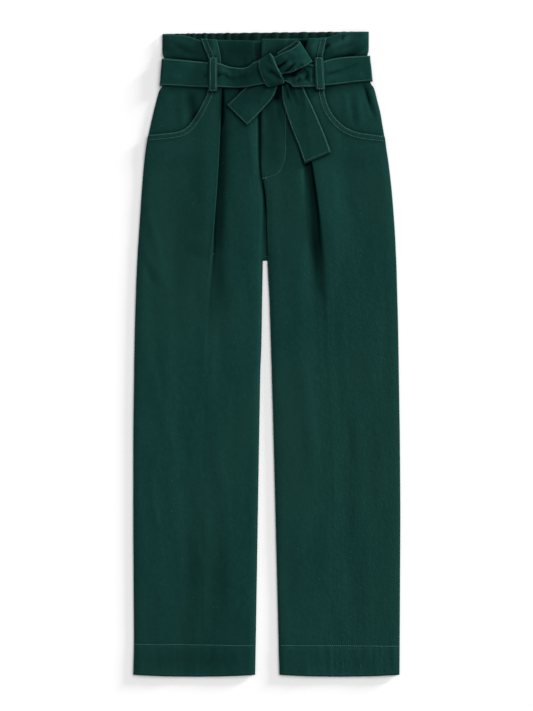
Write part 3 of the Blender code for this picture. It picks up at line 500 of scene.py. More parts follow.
# Where the cloth is painted darker, as soft bands: painted shade in the pressed folds and recesses, on the
# frill above the belt and on the fly, and broad darker patches low on the legs.
PAINTED_SHADE_BANDS = creases(
    (-76, 30, -8, 34, 0, 24, 0.52), (-178, 26, -98, 34, 0, 20, 0.4), (-165, 40, -98, 51, 0, 5, 0.3),
    (98, 50, 150, 38, 2, 7, 0.55), (96, 20, 166, 16, 0, 26, 0.1), (-4, 30, 30, 30, 0, 26, 0.22),
    (128, 34, 170, 18, 0, 5, 0.3), (46, 40, 100, 44, 0, 14, 0.2), (148, 40, 168, 37, 0, 2, 0.4),
    (95, 28, 104, 20, 0, 1.7, 0.6), (123, 15, 127, 5, 0, 1.5, 0.5),
    (-226, 1034, -12, 1034, 0, 16, 0.16), (12, 1034, 226, 1034, 0, 16, 0.1),
    (-126, 96, -118, 152, 0, 8, 0.42), (-73, 90, -73.5, 152, 0, 3.4, 1.1), (-70, 120, -76, 350, -1, 8, 0.55),
    (-75, 300, -82, 480, 0, 11, 0.35), (68, 180, 84, 420, -1, 8, 0.36), (58, 90, 66, 230, 0, 5, 0.6),
    (-86, 276, -98, 500, 0, 4.5, 0.3),
    (78, 320, 88, 460, 0, 9, 0.25), (160, 84, 171, 122, 0, 3, 0.7),
    (13, 94, 13, 240, 0, 16, 0.34), (-11, 104, -9, 210, 0, 2.5, 0.6), (-6, 236, 0, 310, 0, 3, 0.5),
    (-110, 800, -110, 1090, 0, 70, 0.16), (58, 10, 60, 28, 0, 9, 0.9), (21, 86, 14, 118, 0, 5, 0.8),
    (-60, 64, -30, 66, 0, 5, 0.5), (-50, 96, -30, 94, 0, 5, 0.35),
)
# Painted highlight, as soft pale bands: on the tops of the pocket edges, which stand out of the frill, and
# on the panels' crests.
PAINTED_HIGHLIGHT_BANDS = creases(
    (-88, 8, -84, 46, 0, 6, 0.35), (74, 10, 78, 46, 0, 6, 0.3), (88, 8, 86, 42, 0, 7, 0.5),
    (-34, 110, -26, 200, 1, 9, 0.22), (50, 190, 58, 330, 0, 12, 0.1), (98, 26, 150, 5, 1, 7, 0.6),
    (-168, 14, -128, 34, 2, 6, 0.4), (149, 36, 170, 26, 0, 4, 0.5),
)
# Painted shade on the tied belt: darker deep in the folds that the knot pulls, and on the slack between loop
# and knot.
TIED_PAINTED_SHADE = creases(
    (14, 62, 34, 50, 1, 2.2, 0.8), (24, 73, 44, 56, 1, 2.4, 0.9), (40, 72, 60, 57, 0, 2.6, 0.7),
    (28, 78, 50, 72, 0, 3, 0.5), (2, 66, 22, 82, -2, 2.2, 0.7), (12, 43, 18, 37, 0, 2.5, 0.7),
    (-84, 72, -14, 74, 0, 16, 0.26), (-100, 73, -72, 72, 0, 3, 0.35), (-74, 77, -50, 81, 0, 4, 0.12),
    (46, 84, 80, 72, 0, 6, 0.3), (29, 84, 36, 114, 0, 2, 0.75), (36, 84, 42, 106, 0, 1.6, 0.5),
    (97, 72, 124, 64, 0, 2.4, 0.25), (122, 64, 152, 53, 0, 2.6, 0.2), (98, 86, 114, 82, 0, 3, 0.2),
)
BACK_CREASES = creases(
    (-150, 260, -120, 420, 4, 9, 0.6), (-80, 300, -70, 520, -4, 10, 0.6), (-170, 520, -160, 760, 4, 9, 0.6),
    (-60, 620, -90, 900, 5, 11, 0.6), (-30, 330, -120, 372, 6, 8, 0.6), (120, 280, 95, 470, 4, 9, 0.6),
    (60, 420, 72, 660, 4, 10, 0.6), (165, 430, 170, 640, -3, 9, 0.6), (110, 700, 120, 960, 4, 11, 0.6),
    (40, 340, 130, 380, 6, 8, 0.6), (-110, 130, -100, 250, 3, 9, 0.5), (95, 140, 84, 260, 3, 9, 0.5),
)
BELT_CREASES = {
    RIGHT: creases(
        (-82, 73, -70, 71, 0, 2.4, -0.7), (-70, 71, -61, 80, 0, 2.6, -0.45),
        (-60, 81, -50, 75, 0, 2.6, -0.35), (-48, 75, -38, 78, 0, 2.8, -0.3), (-80, 67, -68, 65, 0, 3, 0.7),
        (-68, 66, -60, 74, 0, 3, 0.7), (-58, 75, -46, 70, 0, 3.2, 0.6), (-64, 56, -62, 66, 0, 3.4, -0.4),
        (-52, 57, -50, 68, 0, 4, 0.5), (-44, 76, -34, 84, 0, 3.4, 0.4), (-100, 74, -105, 74, 0, 2.6, -0.8),
        (-97, 64, -116, 61, 1, 4, 0.4), (-30, 60, -26, 90, 2, 4, 0.9), (-44, 60, -40, 72, 0, 4, 0.6),
        (-150, 52, -120, 57, 1, 6, 0.4), (-160, 76, -128, 82, -1, 6, 0.4),
    ),
    LEFT: creases(
        (96, 71, 124, 63, 0, 2.8, -0.6), (122, 63.5, 151, 52, 0, 3, -0.5), (97, 65, 122, 57, 1, 3.6, 0.6),
        (98, 79, 130, 72, 2, 4, 0.5), (30, 82, 64, 60, -3, 4, 1.8), (44, 88, 60, 72, -3, 3, 1.4),
        (40, 88, 54, 76, 2, 2, -1.2), (54, 86, 68, 70, 2, 2.4, -1.2), (72, 60, 72, 84, 1, 2.6, 1.5),
        (80, 70, 80, 76, 0, 2.2, -1.4), (62, 88, 74, 78, 2, 2.6, 1), (64, 60, 68, 66, 0, 2.4, 1),
        (135, 76, 160, 70, 1, 5, 0.4),
    ),
}
TAIL_CREASES = {
    RIGHT: creases(
        (8, 92, -14, 118, 2, 4, 0.9), (-8, 86, -34, 106, 2, 4, 0.7), (-30, 122, -44, 136, 1, 5, 0.5),
    ),
    LEFT: creases(
        (34, 90, 38, 118, 1, 2.4, -1.2), (43, 88, 50, 122, 1, 2.6, -1.2), (56, 92, 66, 130, -1, 4, 0.9),
        (50, 150, 82, 138, 2, 6, 0.5), (58, 178, 90, 164, -2, 7, 0.5),
    ),
}
BOW_CREASES = creases(
    (16, 61, 32, 50, 1, 2.4, -2.4), (26, 72, 46, 54, 1, 2.6, -2.6), (46, 64, 59, 56, 0, 2.2, -1.8),
    (20, 66, 40, 53, 1, 2.6, 1.6), (18, 53, 46, 35, -2, 4, 1.4), (36, 66, 66, 47, 2, 3.4, 1.8),
    (40, 46, 64, 33, 1, 4, 0.9), (30, 44, 46, 30, 1, 3, -1),
)
KNOT_CREASES = creases(
    (1, 63, 26, 83, -2, 2.4, -2.6), (-3, 54, 16, 66, 1, 4, 1.4), (-8, 70, 14, 86, -1, 4, 1.4),
    (8, 50, 22, 74, -1, 2.4, 1), (-4, 66, 8, 72, 0, 2.6, -1),
)

# ------ stitching, in the plane of the garment
EDGE_STITCH, SECOND_STITCH = 1.7, 8.6  # the two rows along a pocket's edge, from the edge
BELT_STITCH = 1.9  # the row along each edge of the belt
HEM_DEPTH = {RIGHT: (53, 50.8), LEFT: (49.6, 51.2)}  # of the stitching, at the outer and the inner seam
FLY_STITCH = table("drop x", (40, 30.6), (196, 30.3), (212, 29), (224, 24.4), (234, 15.5), (240.8, -7))
FLY_BAR_ENDS, FLY_BAR_DROPS = (-8.2, 0.4), (240.5, 241.5)  # the bartack at the foot of the fly
HEM_THICK = 0.45  # how much a turned-up hem stands above the leg
PUCKER = 0.2  # depth to which a row of stitching draws the cloth in
SEWN = {  # the width of the trough along a row, its depth in such depths, and the pitch of the puckers
    "edge": (1.5, 1.0, 6.0), "hem": (2.4, 1.0, 9.0), "fly": (1.8, 1.6, 7.0),
}
SEWN_REACH = 4  # widths beyond which a row does nothing
PUCKERS_UP, PUCKERS_WIDE = 0.55, 2.2  # their height and width as shares of the trough's
PUCKERS_OUT = 0.6  # how far they keep out of the trough itself
PUCKERS_WAVER = (1.3, 5)  # how far they waver, in radians, and over how many pitches
SEEDS = {"waver": 11, "edge": 21, "hem": 31, "waves": 41, "fly": 51, "stitches": 60}
LEAST_TOP = 1.8  # a row of stitching ends where the cloth under it comes down lower than this
FLY_SUNK = 0.4  # the fly's stitching lies this deep in its trough
STITCH_SWAY = 0.09  # how far stitches turn out of their row, in radians
STITCH_UNEVEN = (0.88, 1.08)  # the shortest and the longest, as shares of the usual length
STITCH_RAISED = 0.22  # how far they stand out of the cloth, as a share of their thickness
HEM_ENDS = (2.4, 1.6)  # a hem's stitching ends this far from the side seam and the inseam
HEM_BOW, HEM_WAVER = 0.4, (0.25, 50)  # how far that line sags; how far it wavers, and over what length
EDGE_POINTS, FLY_POINTS, HEM_POINTS, BAR_POINTS = 8, 80, 60, 8  # drawn on a line, or for an edge on each row
HEM_BELOW = (-0.5, 2.5)  # the hem's own thickness and waves set in over this
HEM_WAVES, HEM_WAVE_SIZE = {RIGHT: 0.135, LEFT: 0.3}, (13, 160)  # how high they are, and their usual size
HEM_FULL = (24, 34)  # the hem is wavy from here outwards
EDGE_THICK, EDGE_WIDE = 0.6, (8.6, 11.5)  # the allowance under a pocket's edge, and where it ends
ROPING, ROPING_PITCH, ROPING_SLANT = 0.22, 6.5, 0.8  # the twist of that edge, as slanting waves
ROPING_AT, ROPING_WIDTH = 5.0, 2.6  # how far from the edge it is strongest, and how wide it is
NEAR = 20.0  # nothing that an edge or a hem does reaches farther than this
RUBBED = {  # how pale each place is where cloth rubs, and over what width
    "edge": (0.8, 1.3), "fold": (0.4, 2.0), "hem": (0.3, 2.0), "frill": (0.5, 5.0), "back": (0.5, 2.5),
    "hip": (0.6, 1.6),
}

# ------ the fine unevenness of the cloth
# Each set of waves has a height, a usual size across and down, and a seed.
SOFT_WAVES = ((0.20, (44, 230), 3), (0.05, (17, 70), 5))
CRINKLES = ((0.07, (9.5, 40), 7), (0.055, (5.5, 11), 9))  # on the left leg alone
RUMPLED = {"inner": (3, 24), "outer": (196, 216), "drop": (100, 150)}  # over which it sets in or dies out
CRINKLED = {"x": (50, 120), "drop": (190, 420)}

# ------ sheets, in metres of flat cloth
TAIL_FLAT = {RIGHT: (0.045, 0.085), LEFT: (0.045, 0.140)}  # of what shows
BELT_FRONT_FLAT = {side: (0.045, 0.19) for side in SIDES}
LOOP_FLAT = {side: (0.014, 0.060) for side in SIDES}
BOW_FLAT, KNOT_FLAT = (0.040, 0.12), (0.034, 0.06)


# ------ heights of the layers
def belt_line(x):
    """The drop of the belt's middle as it crosses the back, which leans a little."""
    return BELT_MIDDLE - BELT_LEAN * np.asarray(x, float)


def back_lift(x, drop):
    """How far the belt under it holds the back off the table."""
    clear = BELT_WIDTH / 2 + BACK_CLEAR
    return (BELT_CLOTH + GAP) * (1 - ramp(np.abs(drop - belt_line(x)), clear, clear + BACK_SLOPE))


def sagged(drop, across):
    """The drop of a leg's places when its hem hangs lowest in the middle; across is 0 and 1 at its seams."""
    hem = LENGTH - HEM_SAG
    return drop + HEM_SAG * ramp(drop, hem - HEM_RISE, hem) * (1 - (2 * across - 1) ** 2)


def hip_height(side, x, drop):
    """Middle height of a hip piece: it rises from the side seam to the front's lowest layer."""
    inset = side_seam(side, drop) - side * x
    low = ON_BACK + GAP / 2 + back_lift(x, drop)
    fullness = HIP_FULLNESS * ramp(drop, *HIP_FULL_BELOW) * ramp(inset, *HIP_FULL_INSIDE)
    return low + np.maximum(follow(FRONT_REST, "z", drop) + fullness - low, 0) * rolled(inset, HIP_ROLL)


def front_outer_height(side, x, drop):
    """Middle height of a front between the side seam and its pleat, over the hip piece and below it."""
    inset = side_seam(side, drop) - side * x
    over_hip = hip_height(side, x, drop) + CLOTH + 2 * GAP
    rise = follow(FRONT_REST, "z", drop) + FRONT_FULLNESS - ON_BACK
    below = ON_BACK + rise * rolled(inset, SIDE_ROLL)
    past_hip = ramp(drop - HIP_FOOT, *PAST_HIP)
    return over_hip * (1 - past_hip) + below * past_hip


def creased(x, drop, marks):
    """Sum of soft ridges and troughs, each a bell across its line that dies out at both of its ends."""
    total = np.zeros(np.broadcast(x, drop).shape)
    for x0, drop0, x1, drop1, bend, width, up in zip(*marks.values()):
        run = np.hypot(x1 - x0, drop1 - drop0)
        ahead, aside = (x1 - x0) / run, (drop1 - drop0) / run
        along = ((x - x0) * ahead + (drop - drop0) * aside) / run
        bent = bend * 4 * np.clip(along, 0, 1) * (1 - np.clip(along, 0, 1))
        off = (drop - drop0) * ahead - (x - x0) * aside - bent
        total += up * bell(off, width) * ramp(along, *CREASE_STARTS) * (1 - ramp(along, *CREASE_ENDS))
    return total


def rumpled(x, drop):
    """The slight unevenness that fronts and hips share: long soft waves, and finer ones on the left leg."""
    inside = ramp(np.abs(x), *RUMPLED["inner"]) * (1 - ramp(np.abs(x), *RUMPLED["outer"]))
    inside = inside * ramp(drop, *RUMPLED["drop"])
    soft, fine = (
        sum(up * swell(x, drop, size, seed) for up, size, seed in waves) for waves in (SOFT_WAVES, CRINKLES)
    )
    return inside * (soft + fine * ramp(x, *CRINKLED["x"]) * ramp(drop, *CRINKLED["drop"]))


class Line:
    """A line of sewing on the garment, as places close together, with what is near it."""

    STEP = 1.5  # from one to the next

    def __init__(self, x, drop):
        run = np.append(0, np.cumsum(np.hypot(np.diff(x), np.diff(drop))))
        even = np.linspace(0, run[-1], max(int(run[-1] / self.STEP), 2))
        self.x, self.drop, self.run = np.interp(even, run, x), np.interp(even, run, drop), even

    def beside(self, distance):
        """The same line, moved to its right as it runs, by that distance."""
        ahead, aside = np.gradient(self.x), np.gradient(self.drop)
        size = np.hypot(ahead, aside)
        return Line(self.x - aside / size * distance, self.drop + ahead / size * distance)

    def near(self, x, drop, within):
        """Distance from the line, up to within, and how far along it the nearest place is."""
        shape = np.broadcast(x, drop).shape
        x, drop = (np.broadcast_to(value, shape).ravel() for value in (x, drop))
        distance, run = np.full(x.shape, float(within)), np.zeros(x.shape)
        close = (x > self.x.min() - within) & (x < self.x.max() + within)
        close &= (drop > self.drop.min() - within) & (drop < self.drop.max() + within)
        if close.any():
            apart = np.hypot(x[close, None] - self.x, drop[close, None] - self.drop)
            nearest = apart.argmin(axis=1)
            distance[close] = np.minimum(apart.min(axis=1), within)
            run[close] = self.run[nearest]
        return distance.reshape(shape), run.reshape(shape)


def drawn(x, drop, steps):
    """A line of sewing drawn as a smooth curve through places."""
    rows = table("row x drop", *zip(range(len(x)), x, drop))
    fine = np.linspace(0, len(x) - 1, steps)
    return Line(follow(rows, "x", fine, key="row"), follow(rows, "drop", fine, key="row"))


def pocket_edge(side):
    """The topstitched edge of a front, from the frill down round the scoop of the pocket to the seam."""
    rows, end = FRONT_ROWS[side], POCKET_END[side]
    return drawn(side * rows["outer_x"][:end], rows["outer_drop"][:end], end * EDGE_POINTS)


def edge_rows(side):
    """The two rows of stitching inside a pocket's edge."""
    edge = pocket_edge(side)
    return [edge.beside(side * EDGE_STITCH), edge.beside(side * SECOND_STITCH)]


def hem_line(side):
    """The row of stitching that holds a hem, with a little waver."""
    seam, inseam = SIDE_SEAM[side]["x"][-1] - HEM_ENDS[0], INSEAM[side]["x"][-1] + HEM_ENDS[1]
    x = np.linspace(seam, inseam, HEM_POINTS)
    outer, inner = HEM_DEPTH[side]
    share = (seam - x) / (seam - inseam)
    level = LENGTH - outer + (outer - inner) * share - HEM_BOW * np.sin(np.pi * share)
    waver, length = HEM_WAVER
    return Line(side * x, level + waver * swell(x, 0 * x, (length, 1), SEEDS["waver"] + side))


def fly_line():
    """The J-shaped row of stitching of the fly."""
    return drawn(FLY_STITCH["x"], FLY_STITCH["drop"], FLY_POINTS)


def fly_bar():
    """The two rows of the bartack at the foot of the fly."""
    x = np.linspace(*FLY_BAR_ENDS, BAR_POINTS)
    return [Line(x, np.full_like(x, drop)) for drop in FLY_BAR_DROPS]


def sewn(line, x, drop, kind, seed):
    """How a row of stitching draws the cloth in: a trough along it, with slanting puckers beside it."""
    width, deep, pitch = SEWN[kind]
    depth = deep * PUCKER
    distance, run = line.near(x, drop, SEWN_REACH * width)
    pull = bell(distance, width)
    beside = bell(distance, PUCKERS_WIDE * width) - PUCKERS_OUT * pull
    waver, pitches = PUCKERS_WAVER
    phase = waver * swell(run, 0 * run, (pitches * pitch, 1), seed)
    waves = np.sin(2 * np.pi * (run + distance) / pitch + phase)
    return -depth * pull + PUCKERS_UP * depth * beside * waves


# ------ what has been laid down
laid = {}  # the bed, for the pieces that come over it, and the cloth of each piece, for its shading


class Bed:
    """Heights of the top of all that has been laid down, on a net of small squares."""

    CELL = 0.8
    MARGIN = 10.0
    LAST = 1.001  # places end just short of the last square
    CLOSER = 1.3  # faces are read at points this much closer than the squares
    LEAST_COVER = 0.02  # a mean is taken over no less than this share of the squares
    LAST_BLUR, SINKS = 1.2, 0.15  # cloth over the bed is smoothed by this at last, and may sink in by this
    ROUND = ((2.4, 1.5), (9.0, 4.2))  # how far the surroundings of a place go, and a full depth below them
    DEPTHS = (-0.25, 0.45)  # the least and the most that each depth counts
    OUTLINE = (5.0, 0.62, 0.95)  # blur of the covered squares, and the cover over which the inside sets in

    def __init__(self):
        self.half = max(abs(CAD_BOX[0][0]), CAD_BOX[1][0]) / MM + self.MARGIN
        tall = LENGTH + 2 * self.MARGIN
        self.top = np.zeros((int(tall / self.CELL) + 2, int(2 * self.half / self.CELL) + 2))
        self.round, self.inside = [], None

    def cells(self, x, drop):
        """Where places fall on the net, in rows and columns, as fractions."""
        row = np.clip((drop + self.MARGIN) / self.CELL, 0, self.top.shape[0] - self.LAST)
        column = np.clip((x + self.half) / self.CELL, 0, self.top.shape[1] - self.LAST)
        return row, column

    def lay(self, places, wall):
        """Raises the net to the top of a piece: every face is read at points closer than a square."""
        spans = [np.abs(np.diff(places[..., :2], axis=axis)).max() for axis in (0, 1)]
        points = (int(span / self.CELL * self.CLOSER) + 2 for span in spans)
        down, across = (np.linspace(0, 1, count) for count in points)
        corners = places[:-1, :-1], places[:-1, 1:], places[1:, :-1], places[1:, 1:]
        for a in down:
            for b in across:
                shares = (1 - a) * (1 - b), (1 - a) * b, a * (1 - b), a * b
                spot = sum(share * corner for share, corner in zip(shares, corners))
                row, column = self.cells(spot[..., 0], spot[..., 1])
                cell = np.rint(row).astype(int), np.rint(column).astype(int)
                np.maximum.at(self.top, cell, spot[..., 2] + wall / 2)

    def height(self, x, drop, reach=0.0):
        """The top at places between the squares, or the highest top within reach of them."""
        top = self.top
        for axis in (0, 1):
            steps = range(-round(reach / self.CELL), round(reach / self.CELL) + 1)
            top = np.maximum.reduce([np.roll(top, step, axis) for step in steps])
        return read_off(top, *self.cells(x, drop))

    def over(self, x, drop, wall, reach=2.4, blur=3.5, rounds=9):
        """Middle height of cloth drawn over the bed: from crest to crest, never lower than its top.

        The cloth is levelled again and again with its neighbours, and each time put back where it would
        sink in, so that it spans the hollows; at the end it is smoothed once.
        """
        least = self.height(x, drop, reach) + wall / 2 + GAP
        height = least
        for _ in range(rounds):
            height = np.maximum(least, blurred(height, blur))
        return np.maximum(blurred(height, self.LAST_BLUR), least - self.SINKS)

    def surroundings(self, width):
        """The mean height round each square, over the squares that have cloth on them."""
        cover = (self.top > 0).astype(float)
        share = np.maximum(blurred(cover, width / self.CELL), self.LEAST_COVER)
        return blurred(self.top, width / self.CELL) / share

    def survey(self):
        """Works out the surroundings of every square, once all is laid, and which lie inside the outline."""
        self.round = [(self.surroundings(width), full) for width, full in self.ROUND]
        blur, *inside = self.OUTLINE
        self.inside = ramp(blurred((self.top > 0).astype(float), blur / self.CELL), *inside)

    def sunk(self, places, wall):
        """How far a piece lies below what is round it, near by and farther off, as a share of 0 to 1.

        It counts for nothing at the outline of the garment, where the cloth only bends down to the table.
        """
        row, column = self.cells(places[..., 0], places[..., 1])
        cell = np.rint(row).astype(int), np.rint(column).astype(int)
        own = places[..., 2] + wall / 2
        depth = sum(np.clip((mean[cell] - own) / full, *self.DEPTHS) for mean, full in self.round)
        return depth * self.inside[cell]


def blurred(values, width):
    """A grid smoothed both ways by bells that wide, in columns and rows."""
    reach = int(np.ceil(BLUR_REACH * width))
    weights = np.exp(-0.5 * (np.arange(-reach, reach + 1) / width) ** 2)
    weights /= weights.sum()
    for _ in range(2):
        padded = np.pad(values, ((reach, reach), (0, 0)), "edge")
        shifted = (share * padded[n : n + len(values)] for n, share in enumerate(weights))
        values = sum(shifted).T
    return values


# ------ turning places into cloth
def world(places):
    """World coordinates, in metres, of places given as x, drop and height."""
    return np.stack([places[..., 0], LENGTH / 2 - places[..., 1], places[..., 2]], axis=-1) * MM


def pile(x, drop, z):
    """One grid of places from its three parts."""
    return np.stack(np.broadcast_arrays(x, drop, z), axis=-1).astype(float)


def spread_out(places):
    """Where each place lay on the flat cloth, for strips: lengths along both ways of the grid."""
    across = np.linalg.norm(np.diff(places, axis=1), axis=2).mean(axis=0)
    along = np.linalg.norm(np.diff(places, axis=0), axis=2).mean(axis=1)
    across, along = (np.append(0, np.cumsum(steps)) for steps in (across, along))
    return np.stack(np.broadcast_arrays(across[None, :], along[:, None]), axis=-1)


def unfolded(places):
    """Where each place lay on the flat cloth, for panels: its drop, and the length across from its edge."""
    across = np.hypot(*np.moveaxis(np.diff(places[..., ::2], axis=1), -1, 0))
    across = np.hstack([np.zeros((len(places), 1)), np.cumsum(across, axis=1)])
    towards = np.sign(places[0, -1, 0] - places[0, 0, 0])
    return np.stack([places[:, :1, 0] + towards * across, places[..., 1]], axis=-1)


def edge_wear(places, width=1.6):
    """How worn a strip is: most at its cut and folded edges."""
    size = np.linalg.norm(np.diff(places, axis=1), axis=2)
    inset = np.hstack([np.zeros((len(places), 1)), np.cumsum(size, axis=1)])
    return bell(np.minimum(inset, inset[:, -1:] - inset), width)


SUNK_SHARES = {"back": 0.4, "knot": 0.35}  # painted shade: how much the pieces with these names are painted darker where they are sunk
SUNK_SHARE = 0.65  # and all others
# paler where a piece stands above what is round it: wear, and painted highlight
STANDING_WEAR_AND_HIGHLIGHT = 0.3


def shade_cloth(bed):
    """Paints pieces paler where they stand out, as wear and painted highlight, and darker where sunk, as
    painted shade, once all are laid.
    """
    bed.survey()
    for mesh, places, wall, wear in laid["cloth"]:
        x, drop = places[..., 0], places[..., 1]
        sunk = bed.sunk(places, wall)
        share = next((part for key, part in SUNK_SHARES.items() if key in mesh.name), SUNK_SHARE)
        # painted shade where a piece lies below what is round it
        dark = np.clip(sunk, 0, 1) * share
        # painted highlight where a piece stands out, added to the real wear
        wear_and_highlight = wear - STANDING_WEAR_AND_HIGHLIGHT * np.minimum(sunk, 0)
        # painted shade and painted highlight in bands on all but the belt, and painted shade in the tied
        # belt's folds
        if "belt_" not in mesh.name:
            dark = dark + creased(x, drop, PAINTED_SHADE_BANDS)
            wear_and_highlight = wear_and_highlight + creased(x, drop, PAINTED_HIGHLIGHT_BANDS)
        elif "loop" not in mesh.name:
            dark = dark + creased(x, drop, TIED_PAINTED_SHADE)
        # the wear attribute holds the real wear together with the painted highlight
        for name, values in (("wear", wear_and_highlight), ("dark", np.clip(dark, 0, 1))):
            layer = mesh.attributes.new(name, "FLOAT", "POINT")
            layer.data.foreach_set("value", np.broadcast_to(values, x.shape).astype(np.float32).ravel())


def in_scene(name, data):
    """An object of that data, in the scene."""
    made = bpy.data.objects.new(name, data)
    bpy.context.scene.collection.objects.link(made)
    return made


def mesh_object(name, spots, faces, material):
    """An object of these corners and faces."""
    mesh = bpy.data.meshes.new(name)
    mesh.from_pydata(spots, [], faces)
    mesh.materials.append(material)
    return in_scene(name, mesh)


def cloth(context, name, places, slot, wear):
    """A piece of cloth: the grid of places as a mesh, its map of the flat cloth, and its wall."""
    sizes = context.scene.trousers_sizes
    double = slot == "green_twill_belt"
    wall = (sizes.belt_cloth if double else sizes.cloth) / MM
    flat = spread_out(places) if double else unfolded(places)
    spots = world(places)
    index = np.arange(places[..., 0].size).reshape(places.shape[:2])
    faces = np.stack([index[:-1, :-1], index[1:, :-1], index[1:, 1:], index[:-1, 1:]], axis=-1)
    faces = faces.reshape(-1, 4)
    a, b = spots[1:, :-1] - spots[:-1, :-1], spots[:-1, 1:] - spots[:-1, :-1]
    if (a[..., 0] * b[..., 1] - a[..., 1] * b[..., 0]).sum() < 0:
        faces = faces[:, ::-1]
    material = finish(context, slot.removeprefix("green_"))
    piece = mesh_object("cloth_" + name, spots.reshape(-1, 3).tolist(), faces.tolist(), material)
    layer = piece.data.uv_layers.new(name="cloth")
    layer.uv.foreach_set("vector", (flat.reshape(-1, 2)[faces.ravel()] * MM).astype(np.float32).ravel())
    piece.data.shade_smooth()
    laid.setdefault("cloth", []).append((piece.data, places, wall, wear))
    solid = piece.modifiers.new("wall", "SOLIDIFY")
    solid.thickness = wall * MM
    solid.offset = 0.0
    solid.use_even_offset = True
    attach(piece, BODY)
    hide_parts(name)
    return piece


# ------ the panels
def pleat_section(pleat, drop):
    """The folded run of a pleat at each drop: how far it lies inwards of the fold, and below its top.

    The cloth turns down and back through an arc, runs straight, and turns forward again through the same
    arc, so that the run is an S lying on its side where the pleat is closed and nearly flat where it opens.
    """
    turn = np.radians(follow(pleat, "turn", drop))
    radius = follow(pleat, "radius", drop)
    tuck = follow(pleat, "tuck", drop)
    nose = np.where(turn > np.pi / 2, 0.0, radius * (1 - np.sin(turn)))
    share = np.linspace(0, 1, BEND_STEPS + 1)[None, :]
    first_in = radius * (np.sin(turn * share) - 1) + nose
    first_down = radius * (1 - np.cos(turn * share))
    straight = tuck * np.linspace(0, 1, TUCK_STEPS + 1)[None, 1:-1]
    turned_in = first_in[:, -1:] + tuck * np.cos(turn)
    turned_down = first_down[:, -1:] + tuck * np.sin(turn)
    back = share[:, ::-1]
    inwards = [
        first_in,
        first_in[:, -1:] + straight * np.cos(turn),
        turned_in + radius * (np.sin(turn) - np.sin(turn * back)),
    ]
    down = [
        first_down,
        first_down[:, -1:] + straight * np.sin(turn),
        turned_down + radius * (np.cos(turn * back) - np.cos(turn)),
    ]
    return np.hstack(inwards), np.hstack(down)


def through(x, drop, z, steps):
    """Finer columns between knots that each row has: straight in plan, monotone cubics in height."""
    slope = row_slopes(z, np.diff(x, axis=1))
    columns = []
    for j, count in enumerate(steps):
        t = np.linspace(0, 1, count, endpoint=False)[None, :]
        here, there = slice(j, j + 1), slice(j + 1, j + 2)
        step = x[:, there] - x[:, here]
        height = eased(t, step, z[:, here], z[:, there], slope[:, here], slope[:, there])
        level = drop[:, here] + (drop[:, there] - drop[:, here]) * t
        columns.append(pile(x[:, here] + step * t, level, height))
    return np.hstack(columns + [pile(x, drop, z)[:, -1:]])


def front_places(side):
    """A whole front, from the frill to the hem, with its pleat folded in."""
    rows, pleat, inner = dict(FRONT_ROWS[side]), PLEAT[side], INNER_FRONT[side]
    run = np.hypot(np.diff(rows["outer_x"]), np.diff(rows["outer_drop"]))
    rows["along"] = np.append(0, np.cumsum(run))
    along = spaced(rows["along"], ROW_STEP)[:, None]
    outer_drop, outer_x, inner_drop = (
        follow(rows, column, along, key="along") for column in ("outer_drop", "outer_x", "inner_drop")
    )
    fold_drop = outer_drop + (inner_drop - outer_drop) * PLEAT_ALONG
    fold = follow(pleat, "fold", fold_drop)
    inwards, down = pleat_section(pleat, fold_drop)
    floor = follow(FRONT_REST, "z", fold_drop)
    top = floor + down[:, -1:]
    start = fold - inwards[:, :1]
    tuck_end = start + follow(pleat, "tuck", fold_drop) + PAST_TUCK
    edge = outer_x - np.array(EDGE_INSETS)[None, :]
    share = np.linspace(0, 1, SLOPE_COLUMNS + 1)[None, 1:]
    slope = edge[:, -1:] + (tuck_end - edge[:, -1:]) * share
    level = tuck_end + (start - tuck_end) * np.linspace(0, 1, TUCK_STEPS + 1)[None, 1:-1]
    x = np.hstack([edge, slope, level])
    drop = outer_drop + (fold_drop - outer_drop) * (outer_x - x) / (outer_x - start)
    on_tuck = 1 - ramp((x - tuck_end) / follow(TOP_SLOPE, "width", fold_drop), 0, 1)
    outer = pile(x, drop, front_outer_height(side, side * x, drop) * (1 - on_tuck) + top * on_tuck)
    folded = pile(fold - inwards, fold_drop, top - down)
    knots = [(folded[:, -1:, 0], fold_drop, floor)]
    for beyond, up in BEYOND_FOLD:
        knots.append((fold - np.maximum(inwards[:, -1:], 0.0) - beyond, fold_drop, floor + up))
    for key, part in INNER_SHARES.items():
        at = outer_drop + (inner_drop - outer_drop) * part
        height = follow(FRONT_REST, "z", at) + follow(inner, key + "_up", at)
        knots.append((follow(inner, key, at), at, height))
    inner_part = through(*(np.hstack(values) for values in zip(*knots)), INNER_STEPS)
    places = np.hstack([outer, folded[:, :-1], inner_part])
    width = outer_x - follow(inner, "inner", inner_drop)
    places[..., 1] = sagged(places[..., 1], (outer_x - places[..., 0]) / width)
    places[..., 0] *= side
    return places


